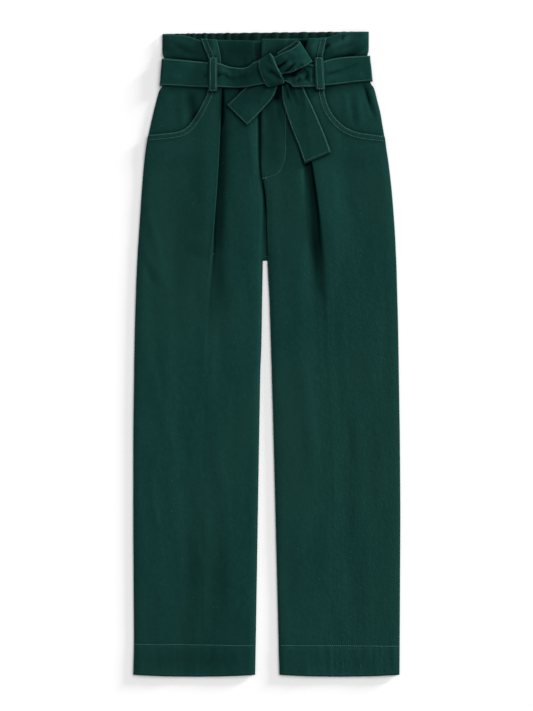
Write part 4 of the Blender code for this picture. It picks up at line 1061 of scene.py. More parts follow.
def sewn_front(side, x, drop):
    """What sewing does to the height of a front: its pocket edge, its hem and the fly."""
    pull = sum(sewn(row, x, drop, "edge", SEEDS["edge"] + n) for n, row in enumerate(edge_rows(side)))
    distance, run = pocket_edge(side).near(x, drop, NEAR)
    twist = np.sin(2 * np.pi * (run + ROPING_SLANT * distance) / ROPING_PITCH)
    pull += EDGE_THICK * (1 - ramp(distance, *EDGE_WIDE))
    pull += ROPING * twist * bell(distance - ROPING_AT, ROPING_WIDTH)
    hem = hem_line(side)
    pull += sewn(hem, x, drop, "hem", SEEDS["hem"])
    below = ramp(drop - hem.drop.mean(), *HEM_BELOW)
    waves = HEM_WAVES[side] * swell(x, drop, HEM_WAVE_SIZE, SEEDS["waves"] + side)
    pull += below * (HEM_THICK + waves * ramp(np.abs(x), *HEM_FULL))
    if side == LEFT:
        pull += sewn(fly_line(), x, drop, "fly", SEEDS["fly"])
    return pull


def rubbed(place, off):
    """How pale cloth is at that distance from a place where it rubs."""
    share, width = RUBBED[place]
    return share * bell(off, width)


def front_wear(side, x, drop):
    """Paler where a front rubs: its topstitched edge, its hem's fold and the hem's stitching."""
    edge, hem = (line.near(x, drop, NEAR)[0] for line in (pocket_edge(side), hem_line(side)))
    return np.clip(rubbed("edge", edge) + rubbed("fold", LENGTH - HEM_SAG - drop) + rubbed("hem", hem), 0, 1)


def hip_places(side):
    """The piece behind a pocket, whose upper part shows between the side seam and the pocket's scoop."""
    level = spaced(np.array([0, HIP_LEVEL, HIP_FOOT]), HIP_STEP)[:, None]
    reach = side_seam(side, level)
    x = reach + (HIP_INNER[side] - reach) * HIP_ACROSS[None, :]
    top = hip_top(side, x)
    drop = np.where(level < HIP_LEVEL, top + (HIP_LEVEL - top) * level / HIP_LEVEL, level)
    return pile(side * x, drop, hip_height(side, side * x, drop))


def back_waist_places():
    """The gathered back of the waist: between its troughs each gather is a rounded sine."""
    troughs = np.array(BACK_TROUGHS, float)
    along = np.linspace(0, len(troughs) - 1, WAIST_COLUMNS)
    gather = np.minimum(along.astype(int), len(troughs) - 2)
    waves = np.interp(along, range(len(troughs)), troughs)
    part, power = GATHER_ROUND
    differ, turn = GATHER_UNEVEN
    rounded = np.sin(np.pi * np.clip(along - gather, 0, 1))[None, :] ** power
    up = (1 + differ * np.sin(turn * gather)) * part * rounded + TROUGH_HEIGHT
    span = ((waves - troughs[0]) / (troughs[-1] - troughs[0]))[None, :]
    drop = spaced(np.array(WAIST_LEVELS), WAIST_STEP)[:, None]
    low, high = -side_seam(RIGHT, drop), side_seam(LEFT, drop)
    x = low + (high - low) * span
    start = BACK_TOP[RIGHT] + (BACK_TOP[LEFT] - BACK_TOP[RIGHT]) * span
    level = start + (BACK_SEAM - start) * drop / BACK_SEAM
    height = follow(GATHER_HEIGHT, "up", level) * (1 - ramp(np.abs(x), *GATHER_FADE))
    dip, start, end = BACK_SCALLOP
    edge = dip * (1 - ramp(level, start, end)) * (1 - up / up.max())
    return pile(x, level + edge, CLOTH / 2 + back_lift(x, level) + height * up)


def back_places(side):
    """A back panel, flat on the table below the belt, with shallow creases that lift it."""
    across = BACK_ACROSS[None, :]
    drop = spaced(np.array(BACK_LEVELS), BACK_STEP)[:, None]
    outer = side * side_seam(side, drop)
    seam = CENTRE_BACK + side * GAP / 2
    inner = np.where(drop > CROTCH, side * follow(INSEAM[side], "x", drop), seam)
    x = inner + (outer - inner) * across
    drop = sagged(drop, across)
    in_from, in_to, out_from, out_to = BACK_CREASED
    shy = ramp(across, in_from, in_to) * (1 - ramp(across, out_from, out_to))
    return pile(x, drop, CLOTH / 2 + back_lift(x, drop) + creased(x, drop, BACK_CREASES) * shy)


# ------ the belt's pieces
def shares_of(kind):
    """Even shares of the way along a strip and across it, as a column and a row."""
    along, across = (np.linspace(0, 1, count) for count in GRIDS[kind])
    return along[:, None], across[None, :]


def stretch(sections, kind):
    """Places on a run of belt between its edges a and b, at even stations along it."""
    share, across = shares_of(kind)
    along = sections["station"][-1] * share
    a_x, a_drop, b_x, b_drop = (
        follow(sections, key, along, key="station") for key in ("a_x", "a_drop", "b_x", "b_drop")
    )
    return a_x + (b_x - a_x) * across, a_drop + (b_drop - a_drop) * across, along, across


def thinned(z, across, width, by=STRIP_THIN):
    """The height of a folded strip, lower by that much at its very edges."""
    return z - by * bell(np.minimum(across, 1 - across) * width, EDGE_ROUND)


def tail_places(side, bed):
    """A free end of the belt, which lies on the fronts and goes up under the belt to the knot."""
    pleats = TAIL_PLEATS[side]
    x, drop, along, across = stretch(TAIL[side], "tail")
    folds = 0.5 - 0.5 * np.cos(2 * np.pi * pleats["count"] * across)
    fullness = pleats["depth"] * folds * (1 - ramp(along, TAIL_GATHERED, pleats["open_at"]))
    off, start, end = TAIL_FREE
    free = off * ramp(along, start, end)
    crease = np.maximum(creased(x, drop, TAIL_CREASES[side]), -TAIL_PRESSED - fullness)
    z = bed.over(x, drop, BELT_CLOTH) + fullness + free + crease
    return pile(x, drop, thinned(z, across, BELT_WIDTH))


def belt_front_places(side, bed):
    """The belt from the knot to the side, where it turns round the edge of the trousers to the back."""
    edges = BELT_FRONT[side]
    share, across = shares_of("belt_front")
    side_drop = edges["top"][-1] + (edges["bottom"][-1] - edges["top"][-1]) * across
    reach = side_seam(side, side_drop) - BELT_TURN_INSET
    x = edges["x"][0] + (reach - edges["x"][0]) * share
    top, bottom = follow(edges, "top", x, key="x"), follow(edges, "bottom", x, key="x")
    drop = top + (bottom - top) * across
    crease = creased(side * x, drop, BELT_CREASES[side])
    slack = sum(up * (1 - ramp(x, start, end)) for up, start, end in BELT_SLACK)
    z = bed.over(side * x, drop, BELT_CLOTH) + slack + np.maximum(crease, -slack - BELT_PRESSED)
    z = thinned(z, across, BELT_WIDTH)
    low = BELT_CLOTH / 2
    radius = (z[-1:] - low) / 2
    turn = np.radians(np.linspace(90, -90, BELT_TURN_STEPS + 1))[:, None]
    x = np.vstack([x, reach + BELT_TURN_INSET + BELT_PROUD + radius * np.cos(turn), reach])
    z = np.vstack([z, low + radius * (1 + np.sin(turn)), np.full_like(radius, low)])
    drop = np.vstack([drop] + [drop[-1:]] * (BELT_TURN_STEPS + 2))
    return pile(side * x, drop, z)


def belt_back_places():
    """The belt across the back, under the trousers."""
    share, across = shares_of("belt_back")
    off = BELT_WIDTH * (across - 0.5)
    start, end = (
        side * (side_seam(side, belt_line(side * SIDE_SEAM[side]["x"][0]) + off) - BELT_BACK_INSET)
        for side in SIDES
    )
    x = start + (end - start) * share
    return pile(x, belt_line(x) + off, BELT_CLOTH / 2)


def belt_loop_places(side, bed):
    """A strip over the belt, sewn down above and below it."""
    ends = LOOP[side]
    share, across = shares_of("loop")
    drop = ends["drop"][0] + (ends["drop"][-1] - ends["drop"][0]) * share + 0 * across
    low, high = follow(ends, "low", drop), follow(ends, "high", drop)
    x = side * (low + (high - low) * across)
    z = bed.over(x, drop, BELT_CLOTH, reach=1.6, blur=2.2) + LOOP_ARCH * np.sin(np.pi * across) ** 2
    return pile(x, drop, thinned(z, across, high - low, LOOP_THIN))


def bow_places(bed):
    """The one loop of the bow: out from the knot, round an open fold, and back above itself.

    It keeps a level of its own, half way from the bed's mean height under it to its highest, and is pushed
    up from there where the bed is higher.
    """
    x, drop, along, across = stretch(BOW, "bow")
    base = bed.over(x, drop, BELT_CLOTH)
    level = (base.max() + base.mean()) / 2
    crease = creased(x, drop, BOW_CREASES) * ramp(along, *BOW_TURNED)
    z = np.maximum(level + follow(BOW, "up", along, key="station") + crease, base)
    return pile(x, drop, thinned(z, across, BELT_WIDTH))


def knot_places(bed):
    """The turn of belt that wraps the knot, fullest in its middle."""
    x, drop, along, across = stretch(KNOT, "knot")
    lengthwise = KNOT_ENDS + (1 - KNOT_ENDS) * np.sin(np.pi * along / KNOT["station"][-1])
    fullness = KNOT_FULLNESS * np.sin(np.pi * across) ** KNOT_ROUND * lengthwise
    z = bed.over(x, drop, BELT_CLOTH) + fullness + creased(x, drop, KNOT_CREASES)
    return pile(x, drop, thinned(z, across, KNOT_WIDTH, KNOT_THIN))


# ------ sewing
def capsule(length, radius, sides=6, rings=4, outermost=0.86):
    """One stitch lying along x: rings that shrink with the cube of how far out they lie, and two tips."""
    at = np.linspace(-outermost, outermost, rings)
    around = np.linspace(0, 2 * np.pi, sides, endpoint=False)
    wide = radius * (1 - np.abs(at) ** 3)[:, None]
    along = np.broadcast_to(at[:, None] * length / 2, (rings, sides))
    body = np.stack([along, wide * np.cos(around), wide * np.sin(around)], axis=-1).reshape(-1, 3)
    spots = np.vstack([body, [[-length / 2, 0, 0], [length / 2, 0, 0]]])
    index = np.arange(rings * sides).reshape(rings, sides)
    after = np.roll(index, -1, axis=1)
    walls = np.stack([index[:-1], after[:-1], after[1:], index[1:]], axis=-1).reshape(-1, 4)
    tip, end = rings * sides, rings * sides + 1
    near = np.stack([np.full(sides, tip), after[0], index[0]], axis=-1)
    far = np.stack([np.full(sides, end), index[-1], after[-1]], axis=-1)
    return spots, walls[:, ::-1], np.vstack([near, far])[:, ::-1]


def stitch_run(places, normals, pitch, length):
    """Middles, directions and normals of stitches at an even pitch along a path of places."""
    run = np.append(0, np.cumsum(np.linalg.norm(np.diff(places, axis=0), axis=1)))
    count = max(int(run[-1] / pitch), 1)
    middle = (np.arange(count) + 0.5) * run[-1] / count

    def at(values, spot):
        """Values of the path at a length along it."""
        return np.stack([np.interp(spot, run, values[:, k]) for k in range(3)], axis=-1)

    ahead = at(places, middle + length / 2) - at(places, middle - length / 2)
    return at(places, middle), ahead, at(normals, middle)


def on_bed(bed, line, sunk=0.0):
    """A line of sewing lifted on to the top of the bed, or sunk in it, with the surface's normals."""
    on_top = bed.height(line.x, line.drop) > LEAST_TOP
    x, drop = line.x[on_top], line.drop[on_top]
    z = bed.height(x, drop) - sunk
    slope_x = bed.height(x + 1, drop) - bed.height(x - 1, drop)
    slope_y = bed.height(x, drop - 1) - bed.height(x, drop + 1)
    normals = np.stack([-slope_x / 2, -slope_y / 2, np.ones_like(z)], axis=-1)
    return world(pile(x, drop, z)), normals


def on_cloth(places, wall, rows, columns, under=False):
    """A line of sewing on the upper side of a strip, along fractions of its grid's rows and columns.

    Under puts it on the other side, which comes up where the strip is folded back.
    """
    spots = world(places)
    normals = unit(np.cross(np.gradient(spots, axis=0), np.gradient(spots, axis=1)))
    if (normals[: len(places) // 3, :, 2].sum() < 0) != under:
        normals = -normals
    top = spots + normals * wall / 2 * MM
    row, column = np.broadcast_arrays(rows * (len(places) - 1), columns * (places.shape[1] - 1))
    return read_off(top, row, column), read_off(normals, row, column)


def unit(directions):
    """Directions brought to a length of 1."""
    return directions / np.linalg.norm(directions, axis=-1, keepdims=True)


def stitches(context, name, paths, seed):
    """All the stitches of one piece as one mesh: the capsule turned and moved to each place."""
    sizes = context.scene.trousers_sizes
    runs = [stitch_run(*path, sizes.stitch_pitch, sizes.stitch_length) for path in paths]
    middle, ahead, up = (np.vstack(parts) for parts in zip(*runs))
    draw = np.random.default_rng(seed)
    ahead = unit(ahead)
    aside = unit(np.cross(up, ahead))
    sway = draw.normal(0, STITCH_SWAY, len(middle))[:, None]
    ahead, aside = ahead + aside * sway, aside - ahead * sway
    up = np.cross(ahead, aside)
    spots, walls, tips = capsule(1.0, sizes.thread / 2)
    long = sizes.stitch_length * draw.uniform(*STITCH_UNEVEN, len(middle))
    shaped = spots[None] * np.stack([long, np.ones_like(long), np.ones_like(long)], axis=-1)[:, None]
    axes = np.stack([ahead, aside, up], axis=1)
    raised = middle + up * sizes.thread * STITCH_RAISED
    placed = np.einsum("nvk,nkc->nvc", shaped, axes) + raised[:, None]
    first = (np.arange(len(middle)) * len(spots))[:, None, None]
    faces = (walls[None] + first).reshape(-1, 4).tolist() + (tips[None] + first).reshape(-1, 3).tolist()
    yarn = finish(context, "thread")
    piece = mesh_object("stitching_" + name, placed.reshape(-1, 3).tolist(), faces, yarn)
    piece.data.shade_smooth()
    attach(piece, BODY)
    return piece


# ------ finishes
class Value:
    """A number that changes over a surface. Arithmetic on it adds Math nodes."""

    def __init__(self, shading, socket):
        self.shading, self.socket = shading, socket

    def math(self, operation, *others):
        """A Math node on this number and others."""
        return self.shading.math(operation, self, *others)

    def __add__(self, other):
        return self.math("ADD", other)

    def __sub__(self, other):
        return self.math("SUBTRACT", other)

    def __rsub__(self, other):
        return self.shading.math("SUBTRACT", other, self)

    def __mul__(self, other):
        return self.math("MULTIPLY", other)

    __radd__ = __add__
    __rmul__ = __mul__

    def between(self, low, high):
        """0 below low, 1 above high, and an S between them."""
        settings = {"interpolation_type": "SMOOTHSTEP"}
        inputs = {"Value": self, "From Min": low, "From Max": high}
        made = self.shading.node("ShaderNodeMapRange", settings, inputs)
        return Value(self.shading, made.outputs["Result"])


class Shading:
    """The nodes of one material, with a Principled shader at their end."""

    def __init__(self, name):
        self.material = bpy.data.materials.new(name)
        self.material.use_nodes = True
        self.tree = self.material.node_tree
        self.place = self.node("ShaderNodeTexCoord").outputs["Object"]

    def node(self, kind, settings=None, inputs=None):
        """A node of that type, with its settings made first and then its sockets set or linked."""
        made = self.tree.nodes.new(kind)
        for key, setting in (settings or {}).items():
            setattr(made, key, setting)
        for key, value in (inputs or {}).items():
            self.put(made, key, value)
        return made

    def put(self, node, key, value):
        """Sets a socket, found by its place, identifier or name, to a value or a link."""
        known = {socket.identifier: socket for socket in node.inputs}
        socket = node.inputs[key] if isinstance(key, int) else known.get(key) or node.inputs[key]
        if isinstance(value, Value):
            value = value.socket
        if isinstance(value, bpy.types.NodeSocket):
            self.tree.links.new(value, socket)
        else:
            socket.default_value = value

    def math(self, operation, *values):
        """A Math node on numbers that change or stay the same."""
        made = self.node("ShaderNodeMath", {"operation": operation}, dict(enumerate(values)))
        return Value(self, made.outputs[0])

    def stretched(self, vector, scale):
        """A vector with each of its parts multiplied."""
        return self.node("ShaderNodeVectorMath", {"operation": "MULTIPLY"}, {0: vector, 1: scale}).outputs[0]

    def parts(self, vector):
        """The parts of a vector, as numbers."""
        return [Value(self, part) for part in self.node("ShaderNodeSeparateXYZ", {}, {0: vector}).outputs]

    def noise(self, vector, scale, detail=2.0, roughness=0.5):
        """Fractal noise between about 0 and 1 on a vector stretched by scale."""
        inputs = {"Scale": 1.0, "Detail": detail, "Roughness": roughness}
        inputs["Vector"] = self.stretched(vector, scale)
        return Value(self, self.node("ShaderNodeTexNoise", {}, inputs).outputs[0])

    def attribute(self, name):
        """A number kept with the corners of the mesh."""
        return Value(self, self.node("ShaderNodeAttribute", {"attribute_name": name}).outputs["Fac"])

    def mix(self, factor, a, b):
        """One colour going over into another."""
        inputs = {"Factor_Float": factor, "A_Color": a, "B_Color": b}
        made = self.node("ShaderNodeMix", {"data_type": "RGBA"}, inputs)
        return next(socket for socket in made.outputs if socket.identifier == "Result_Color")

    def finished(self, colour, relief=None, **inputs):
        """The material, with its Principled shader's sockets set and its relief in metres as a bump."""
        if relief is not None:
            bump = {"Strength": 1.0, "Distance": 1.0, "Height": relief}
            inputs["Normal"] = self.node("ShaderNodeBump", {}, bump).outputs[0]
        for key, value in inputs.items():
            self.put(self.tree.nodes["Principled BSDF"], key.replace("_", " "), value)
        self.material.diffuse_color = toned(colour, 1.0)
        return self.material


def toned(colour, factor, more=0.0):
    """A colour with its parts multiplied, together or each by its own factor, and its alpha."""
    return (*np.minimum(np.multiply(colour, factor) + more, 1.0).tolist(), 1.0)


TWILL_PITCH = 0.00092  # between the twill's slanting ribs, in metres
TWILL_SLANT = 1.6
RIB_UP = 0.000016
LINT = (0.10, 0.16, 0.15)
LINT_CELLS = (58, 44, 1)  # in a metre each way; a few of them have a fleck in their middle
LINT_SIZE, LINT_SHARE = (0.016, 0.034), 0.5  # its radius in cells, and how much of it shows
TWILL_NOISES = {  # what each is read on, its waves in a metre along that, its octaves and its roughness
    "crinkle": ("place", (300, 160, 300), 3.0, 0.6), "faded": ("place", (6, 3, 6), 2.0, 0.5),
    "cloud": ("place", (9, 5, 9), 3.0, 0.5), "streak": ("place", (30, 10, 30), 3.0, 0.6),
    "mottle": ("place", (150, 110, 110), 4.0, 0.6), "slub": ("flat", (900, 120, 1), 2.0, 0.5),
    "thick": ("flat", (120, 900, 1), 1.0, 0.5),
}
TWILL_TONES = {"cloud": 0.45, "mottle": 0.4, "slub": 0.3, "thick": 0.3, "streak": 0.3}
TWILL_RELIEF = {"slub": 0.00012, "thick": 0.00005, "mottle": 0.0003}  # in metres
CRINKLE_UP = 0.0005  # on the left leg alone: it sets in along x and dies out along y
SETS_IN = {  # from where to where on its own scale each of these sets in
    "x": (0.03, 0.13), "y": (0.05, 0.35), "tone": (0.1, 0.9), "faded": (0.35, 0.75), "wear_and_highlight": (0.08, 0.95),
    "lint": (0.88, 0.92), "yarn": (0.25, 0.75),
}
RIB_TONE, RIB_WAVER = 0.05, 0.0004  # how much paler a rib's top is, and how far slubs push it aside
TWILL_LOW, TWILL_HIGH = (0.646, 0.76, 0.76), (1.612, 1.24, 1.1904)  # its darkest and its palest tone
TWILL_FADED, FADED_SHARE = (1.5, 1.02, 0.93), 0.5
TWILL_WORN_AND_HIGHLIGHT, WEAR_AND_HIGHLIGHT_PATCHY = (1.5, 0.008), (0.45, 0.9)  # the pale tone of wear and painted highlight; they count for more where the mottling is pale
# the darkest tone of the painted shade, as a share of the colour
TWILL_PAINTED_SHADE = 0.08
# How rough each is, and what the mottling and the wear, the ply, or the grain of the paper add.
TWILL_ROUGH, THREAD_ROUGH, PAPER_ROUGH = (0.82, 0.12, 0.04), (0.62, 0.2), (0.85, 0.1)
TWILL_SHEEN, SHEEN_TINT = 0.03, 12.0
YARN_WAVES, PLY_WAVES, PAPER_WAVES = (260,) * 3, (2600,) * 3, (40,) * 3  # in a metre
YARN_TONES, PLY_UP = (0.72, 1.3), 0.00006


def twill(name, colour):
    """Matt cotton twill: slanting ribs, slubs down the cloth, mottling, pale worn edges with painted
    highlight, painted shade and some lint.
    """
    made = Shading(name)
    flat = made.node("ShaderNodeUVMap", {"uv_map": "cloth"}).outputs[0]
    u, v, _ = made.parts(flat)
    x, y, _ = made.parts(made.place)
    crinkled = x.between(*SETS_IN["x"]) * (1 - y.between(*SETS_IN["y"]))
    noise = {
        key: made.noise(made.place if on == "place" else flat, *settings)
        for key, (on, *settings) in TWILL_NOISES.items()
    }
    rib = (u + v * TWILL_SLANT + (noise["slub"] - 0.5) * RIB_WAVER) * (2 * np.pi / TWILL_PITCH)
    rib = rib.math("SINE")
    # wear holds the real wear with the painted highlight, and dark the painted shade
    wear, dark = made.attribute("wear"), made.attribute("dark")
    tone, relief = (
        sum((noise[key] - 0.5) * share for key, share in shares.items())
        for shares in (TWILL_TONES, TWILL_RELIEF)
    )
    tone = 0.5 + tone + rib * RIB_TONE
    relief = relief + rib * RIB_UP + (noise["crinkle"] - 0.5) * crinkled * CRINKLE_UP
    tone = tone.between(*SETS_IN["tone"])
    shade = made.mix(tone, toned(colour, TWILL_LOW), toned(colour, TWILL_HIGH))
    faded = noise["faded"].between(*SETS_IN["faded"]) * FADED_SHARE
    shade = made.mix(faded, shade, toned(colour, TWILL_FADED))
    even, patchy = WEAR_AND_HIGHLIGHT_PATCHY
    wear_and_highlight = (wear * (even + noise["mottle"] * patchy)).between(*SETS_IN["wear_and_highlight"])
    shade = made.mix(wear_and_highlight, shade, toned(colour, *TWILL_WORN_AND_HIGHLIGHT))
    # painted shade: darker in the recesses, the folds and the painted bands
    shade = made.mix(dark, shade, toned(colour, TWILL_PAINTED_SHADE))
    inputs = {"Vector": made.stretched(flat, LINT_CELLS), "Scale": 1.0}
    specks = made.node("ShaderNodeTexVoronoi", {"feature": "F1", "voronoi_dimensions": "2D"}, inputs)
    draw = made.node("ShaderNodeSeparateColor", {}, {0: specks.outputs["Color"]})
    chosen = Value(made, draw.outputs[0]).between(*SETS_IN["lint"])
    lint = (1 - Value(made, specks.outputs["Distance"]).between(*LINT_SIZE)) * chosen
    rough, by_mottle, by_wear = TWILL_ROUGH
    return made.finished(
        colour, relief,
        Base_Color=made.mix(lint * LINT_SHARE, shade, (*LINT, 1.0)),
        Roughness=rough + noise["mottle"] * by_mottle + wear * by_wear, Specular_IOR_Level=0.0,
        Sheen_Weight=TWILL_SHEEN, Sheen_Roughness=0.5, Sheen_Tint=toned(colour, SHEEN_TINT),
    )


def thread(name, colour):
    """Polyester sewing thread: a little brighter and smoother than the cloth, uneven between stitches."""
    made = Shading(name)
    uneven = made.noise(made.place, YARN_WAVES, 1.0).between(*SETS_IN["yarn"])
    ply = made.noise(made.place, PLY_WAVES, 1.0)
    shade = made.mix(uneven, *(toned(colour, tone) for tone in YARN_TONES))
    rough, by_ply = THREAD_ROUGH
    return made.finished(
        colour, ply * PLY_UP, Base_Color=shade, Roughness=rough + ply * by_ply, Specular_IOR_Level=0.2
    )


def pale_floor(name, colour):
    """Matt white paper for the garment to lie on."""
    made = Shading(name)
    least, more = PAPER_ROUGH
    rough = least + made.noise(made.place, PAPER_WAVES) * more
    return made.finished(colour, Base_Color=toned(colour, 1.0), Roughness=rough, Specular_IOR_Level=0.0)


def finish(context, name):
    """The material of that name, made the first time it is asked for."""
    title = "trousers_" + name
    if title not in bpy.data.materials:
        colours = context.scene.trousers_colours
        made, colour = {
            "twill": (twill, colours.cloth),
            "twill_inside": (twill, colours.inside),
            "twill_belt": (twill, colours.belt),
            "thread": (thread, colours.thread),
            "paper": (pale_floor, colours.floor),
        }[name]
        made(title, colour)
    return bpy.data.materials[title]


# ------ what a user would change
def length_property(name, description, default, low, high):
    """A length in metres that a user can change, between two limits."""
    return bpy.props.FloatProperty(
        name=name, description=description, default=default, min=low, max=high, precision=5, unit="LENGTH"
    )


def share_property(name, description, default, high):
    """A strength or a share, from 0 up."""
    return bpy.props.FloatProperty(name=name, description=description, default=default, min=0.0, max=high)


def colour_property(name, description, default):
    """A colour, as its three parts."""
    return bpy.props.FloatVectorProperty(
        name=name, description=description, default=default, size=3, min=0.0, max=1.0, subtype="COLOR"
    )


class TrousersSizes(bpy.types.PropertyGroup):
    """Sizes of the cloth and its sewing"""

    cloth: length_property("Cloth", "Thickness of one layer of twill", CLOTH * MM, 0.0005, 0.003)
    belt_cloth: length_property("Belt Cloth", "Thickness of the double belt", BELT_CLOTH * MM, 0.0008, 0.004)
    creases: share_property("Creases", "Depth of the creases, as a share of their usual depth", 1.0, 1.5)
    stitch_pitch: length_property("Stitch Pitch", "From one stitch to the next", 0.0033, 0.0015, 0.006)
    stitch_length: length_property("Stitch Length", "Thread that shows in a stitch", 0.0020, 0.001, 0.005)
    thread: length_property("Thread", "Thickness of the topstitching thread", 0.0009, 0.0002, 0.0012)


class TrousersColours(bpy.types.PropertyGroup):
    """Colours of the cloth, the thread and the floor"""

    cloth: colour_property("Cloth", "Right side of the twill", (0.0061, 0.0362, 0.0322))
    inside: colour_property("Inside", "Inside of the twill", (0.0042, 0.0190, 0.0155))
    belt: colour_property("Belt", "The belt and its loops", (0.0052, 0.0328, 0.0292))
    thread: colour_property("Thread", "Topstitching thread", (0.064, 0.132, 0.115))
    floor: colour_property("Floor", "What the garment lies on", (0.93, 0.93, 0.93))


class TrousersStudio(bpy.types.PropertyGroup):
    """The light of the stage"""

    key: share_property("Key Light", "Strength of the soft light from the upper right", 1.75, 10.0)
    low: share_property("Low Light", "Strength of the light that rakes over the folds", 6.2, 10.0)
    fill: share_property("Fill", "Strength of the even light from all sides", 0.44, 5.0)


# ------ the operators
VIEW_LENS = 100.0
SENSOR = 36.0
VIEW_TALL = 1.1703  # metres of the floor that the view takes in from top to foot
VIEW_CENTRE = (-0.0006, -0.0020)
LIGHTS = {"key": ((0.62, 0.50, 0.95), 0.9), "low": ((1.0, 0.70, 0.15), 0.16)}  # where from, and how wide
FLOOR_HALF = 6.0


def bed_so_far():
    """The bed, which the fronts start."""
    if "bed" not in laid:
        raise RuntimeError("the fronts are laid down before the belt")
    return laid["bed"]


def strip(context, name, places, rows):
    """One piece of the belt with its own stitching."""
    piece = cloth(context, name, places, "green_twill_belt", 0.5 * edge_wear(places))
    sewing = stitches(context, name, rows, len(name))


def strip_rows(places, wall, width, inset, first, last, ends=(), count=LONG_ROW, under=False):
    """Rows of stitching down both edges of a strip, and across it near the stations in ends."""
    along = np.linspace(first, last, count)
    share = inset / width
    rows = [on_cloth(places, wall, along, edge, under) for edge in (share, 1 - share)]
    across = np.linspace(share, 1 - share, SHORT_ROW)
    rows += [on_cloth(places, wall, at, across) for at in ends]
    return rows


class TROUSERS_OT_stage(bpy.types.Operator):
    """Makes the floor, the light and the camera"""

    bl_idname = "trousers.stage"
    bl_label = "Stage"

    def execute(self, context):
        studio = context.scene.trousers_studio
        corners = [(x * FLOOR_HALF, y * FLOOR_HALF, 0) for x, y in ((-1, -1), (1, -1), (1, 1), (-1, 1))]
        floor = mesh_object("floor", corners, [(0, 1, 2, 3)], finish(context, "paper"))
        for name, strength in (("key", studio.key), ("low", studio.low)):
            light = bpy.data.lights.new(name, "SUN")
            light.energy = strength
            towards, light.angle = LIGHTS[name]
            in_scene(name, light).rotation_euler = Vector(towards).to_track_quat("Z", "Y").to_euler()
        world_light = bpy.data.worlds.new("studio")
        world_light.use_nodes = True
        background = world_light.node_tree.nodes["Background"]
        background.inputs["Color"].default_value = (1.0, 1.0, 1.0, 1.0)
        background.inputs["Strength"].default_value = studio.fill
        context.scene.world = world_light
        lens = bpy.data.cameras.new("camera")
        lens.lens = VIEW_LENS
        lens.sensor_width = SENSOR
        context.scene.camera = in_scene("camera", lens)
        context.scene.camera.location = (*VIEW_CENTRE, VIEW_LENS / SENSOR * VIEW_TALL)
        context.scene.view_settings.view_transform = "Standard"
        return {"FINISHED"}


class TROUSERS_OT_backs(bpy.types.Operator):
    """Lays down the back panels, the gathered back of the waist and the belt behind it"""

    bl_idname = "trousers.backs"
    bl_label = "Backs"

    def execute(self, context):
        places = belt_back_places()
        piece = cloth(context, "belt_back", places, "green_twill_belt", edge_wear(places))
        places = back_waist_places()
        wear = rubbed("frill", places[..., 1])
        piece = cloth(context, "back_waist", places, "green_twill_inside", wear)
        for side in SIDES:
            places = back_places(side)
            wear = rubbed("back", LENGTH - HEM_SAG - places[..., 1])
            piece = cloth(context, "back_" + SIDE_NAMES[side], places, "green_twill", wear)
        return {"FINISHED"}


class TROUSERS_OT_fronts(bpy.types.Operator):
    """Lays down the hip pieces and the pleated fronts, with their topstitching"""

    bl_idname = "trousers.fronts"
    bl_label = "Fronts"

    def execute(self, context):
        depth = context.scene.trousers_sizes.creases
        bed = laid["bed"] = Bed()
        pieces = {}
        for side in SIDES:
            name = SIDE_NAMES[side]
            places = hip_places(side)
            x, drop = places[..., 0], places[..., 1]
            places[..., 2] += depth * creased(x, drop, HIP_CREASES) + rumpled(x, drop)
            bed.lay(places, CLOTH)
            wear = rubbed("hip", drop - hip_top(side, side * x))
            piece = cloth(context, "hip_" + name, places, "green_twill", wear)
            places = front_places(side)
            x, drop = places[..., 0], places[..., 1]
            shared = creased(x, drop, FRONT_CREASES) + creased(x, drop, HIP_CREASES)
            places[..., 2] += depth * shared + rumpled(x, drop) + sewn_front(side, x, drop)
            bed.lay(places, CLOTH)
            wear = front_wear(side, x, drop)
            pieces[side] = cloth(context, "front_" + name, places, "green_twill", wear)
        for side, piece in pieces.items():
            name = "front_" + SIDE_NAMES[side]
            paths = [on_bed(bed, fly_line(), FLY_SUNK)] if side == LEFT else []
            rows = [*edge_rows(side), hem_line(side), *(fly_bar() if side == LEFT else ())]
            paths += [on_bed(bed, row) for row in rows]
            sewing = stitches(context, name, paths, SEEDS["stitches"] + side)
        return {"FINISHED"}


class TROUSERS_OT_belt(bpy.types.Operator):
    """Lays the tails of the belt, the belt over the front, and the belt loops"""

    bl_idname = "trousers.belt"
    bl_label = "Belt"

    def execute(self, context):
        bed = bed_so_far()
        wall = context.scene.trousers_sizes.belt_cloth / MM
        for kind, made, flat, width, inset, *across in (
            ("tail", tail_places, TAIL_FLAT, BELT_WIDTH, BELT_STITCH, TAIL_END),
            ("front", belt_front_places, BELT_FRONT_FLAT, BELT_WIDTH, BELT_STITCH),
            ("loop", belt_loop_places, LOOP_FLAT, LOOP_WIDTH, LOOP_STITCH, LOOP_BARS, SHORT_ROW),
        ):
            strips = {side: made(side, bed) for side in SIDES}
            for side, places in strips.items():
                name = "_".join(["belt", kind, SIDE_NAMES[side]])
                rows = strip_rows(places, wall, width, inset, *STITCHED[kind], *across)
                strip(context, name, places, rows)
                bed.lay(places, wall)
        return {"FINISHED"}


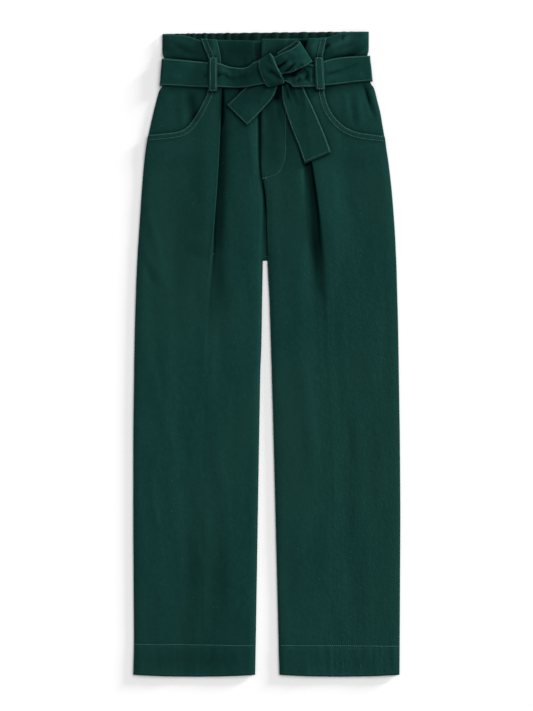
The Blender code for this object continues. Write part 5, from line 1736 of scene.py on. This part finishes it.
class TROUSERS_OT_bow(bpy.types.Operator):
    """Lays the loop of the bow and wraps the knot over it"""

    bl_idname = "trousers.bow"
    bl_label = "Bow and Knot"

    def execute(self, context):
        bed = bed_so_far()
        wall = context.scene.trousers_sizes.belt_cloth / MM
        for kind, made, width, flat in (
            ("bow", bow_places, BOW_STITCH_WIDTH, BOW_FLAT),
            ("knot", knot_places, KNOT_STITCH_WIDTH, KNOT_FLAT),
        ):
            places = made(bed)
            bed.lay(places, wall)
            first, turn, last = STITCHED[kind]
            rows = strip_rows(places, wall, width, BELT_STITCH, first, turn)
            if turn < last:
                rows += strip_rows(places, wall, width, BELT_STITCH, turn, last, under=True)
            strip(context, "belt_" + kind, places, rows)
        shade_cloth(bed)
        return {"FINISHED"}


class TROUSERS_PT_panel(bpy.types.Panel):
    """The steps of the garment, in order"""

    bl_label = "Paperbag Waist Trousers"
    bl_idname = "TROUSERS_PT_panel"
    bl_space_type = "VIEW_3D"
    bl_region_type = "UI"
    bl_category = "Trousers"

    def draw(self, context):
        for group in ("trousers_sizes", "trousers_colours", "trousers_studio"):
            box = self.layout.box()
            values = getattr(context.scene, group)
            for key in values.bl_rna.properties.keys():
                if key not in ("rna_type", "name"):
                    box.prop(values, key)
        for step in STEPS:
            self.layout.operator(step.bl_idname)


STEPS = (TROUSERS_OT_stage, TROUSERS_OT_backs, TROUSERS_OT_fronts, TROUSERS_OT_belt, TROUSERS_OT_bow)
GROUPS = {
    "trousers_sizes": TrousersSizes,
    "trousers_colours": TrousersColours,
    "trousers_studio": TrousersStudio,
}


def register():
    """Makes the groups of values, the steps and the panel known to Blender."""
    for group in GROUPS.values():
        bpy.utils.register_class(group)
    for step in (*STEPS, TROUSERS_PT_panel):
        bpy.utils.register_class(step)
    for name, group in GROUPS.items():
        setattr(bpy.types.Scene, name, bpy.props.PointerProperty(type=group))


def unregister():
    """Takes them away again."""
    for name in GROUPS:
        delattr(bpy.types.Scene, name)
    for made in (TROUSERS_PT_panel, *reversed(STEPS), *GROUPS.values()):
        bpy.utils.unregister_class(made)


def main():
    """Builds the trousers step by step."""
    register()
    bpy.ops.trousers.stage()
    bpy.ops.trousers.backs()
    bpy.ops.trousers.fronts()
    bpy.ops.trousers.belt()
    bpy.ops.trousers.bow()


if __name__ == "__main__":
    main()
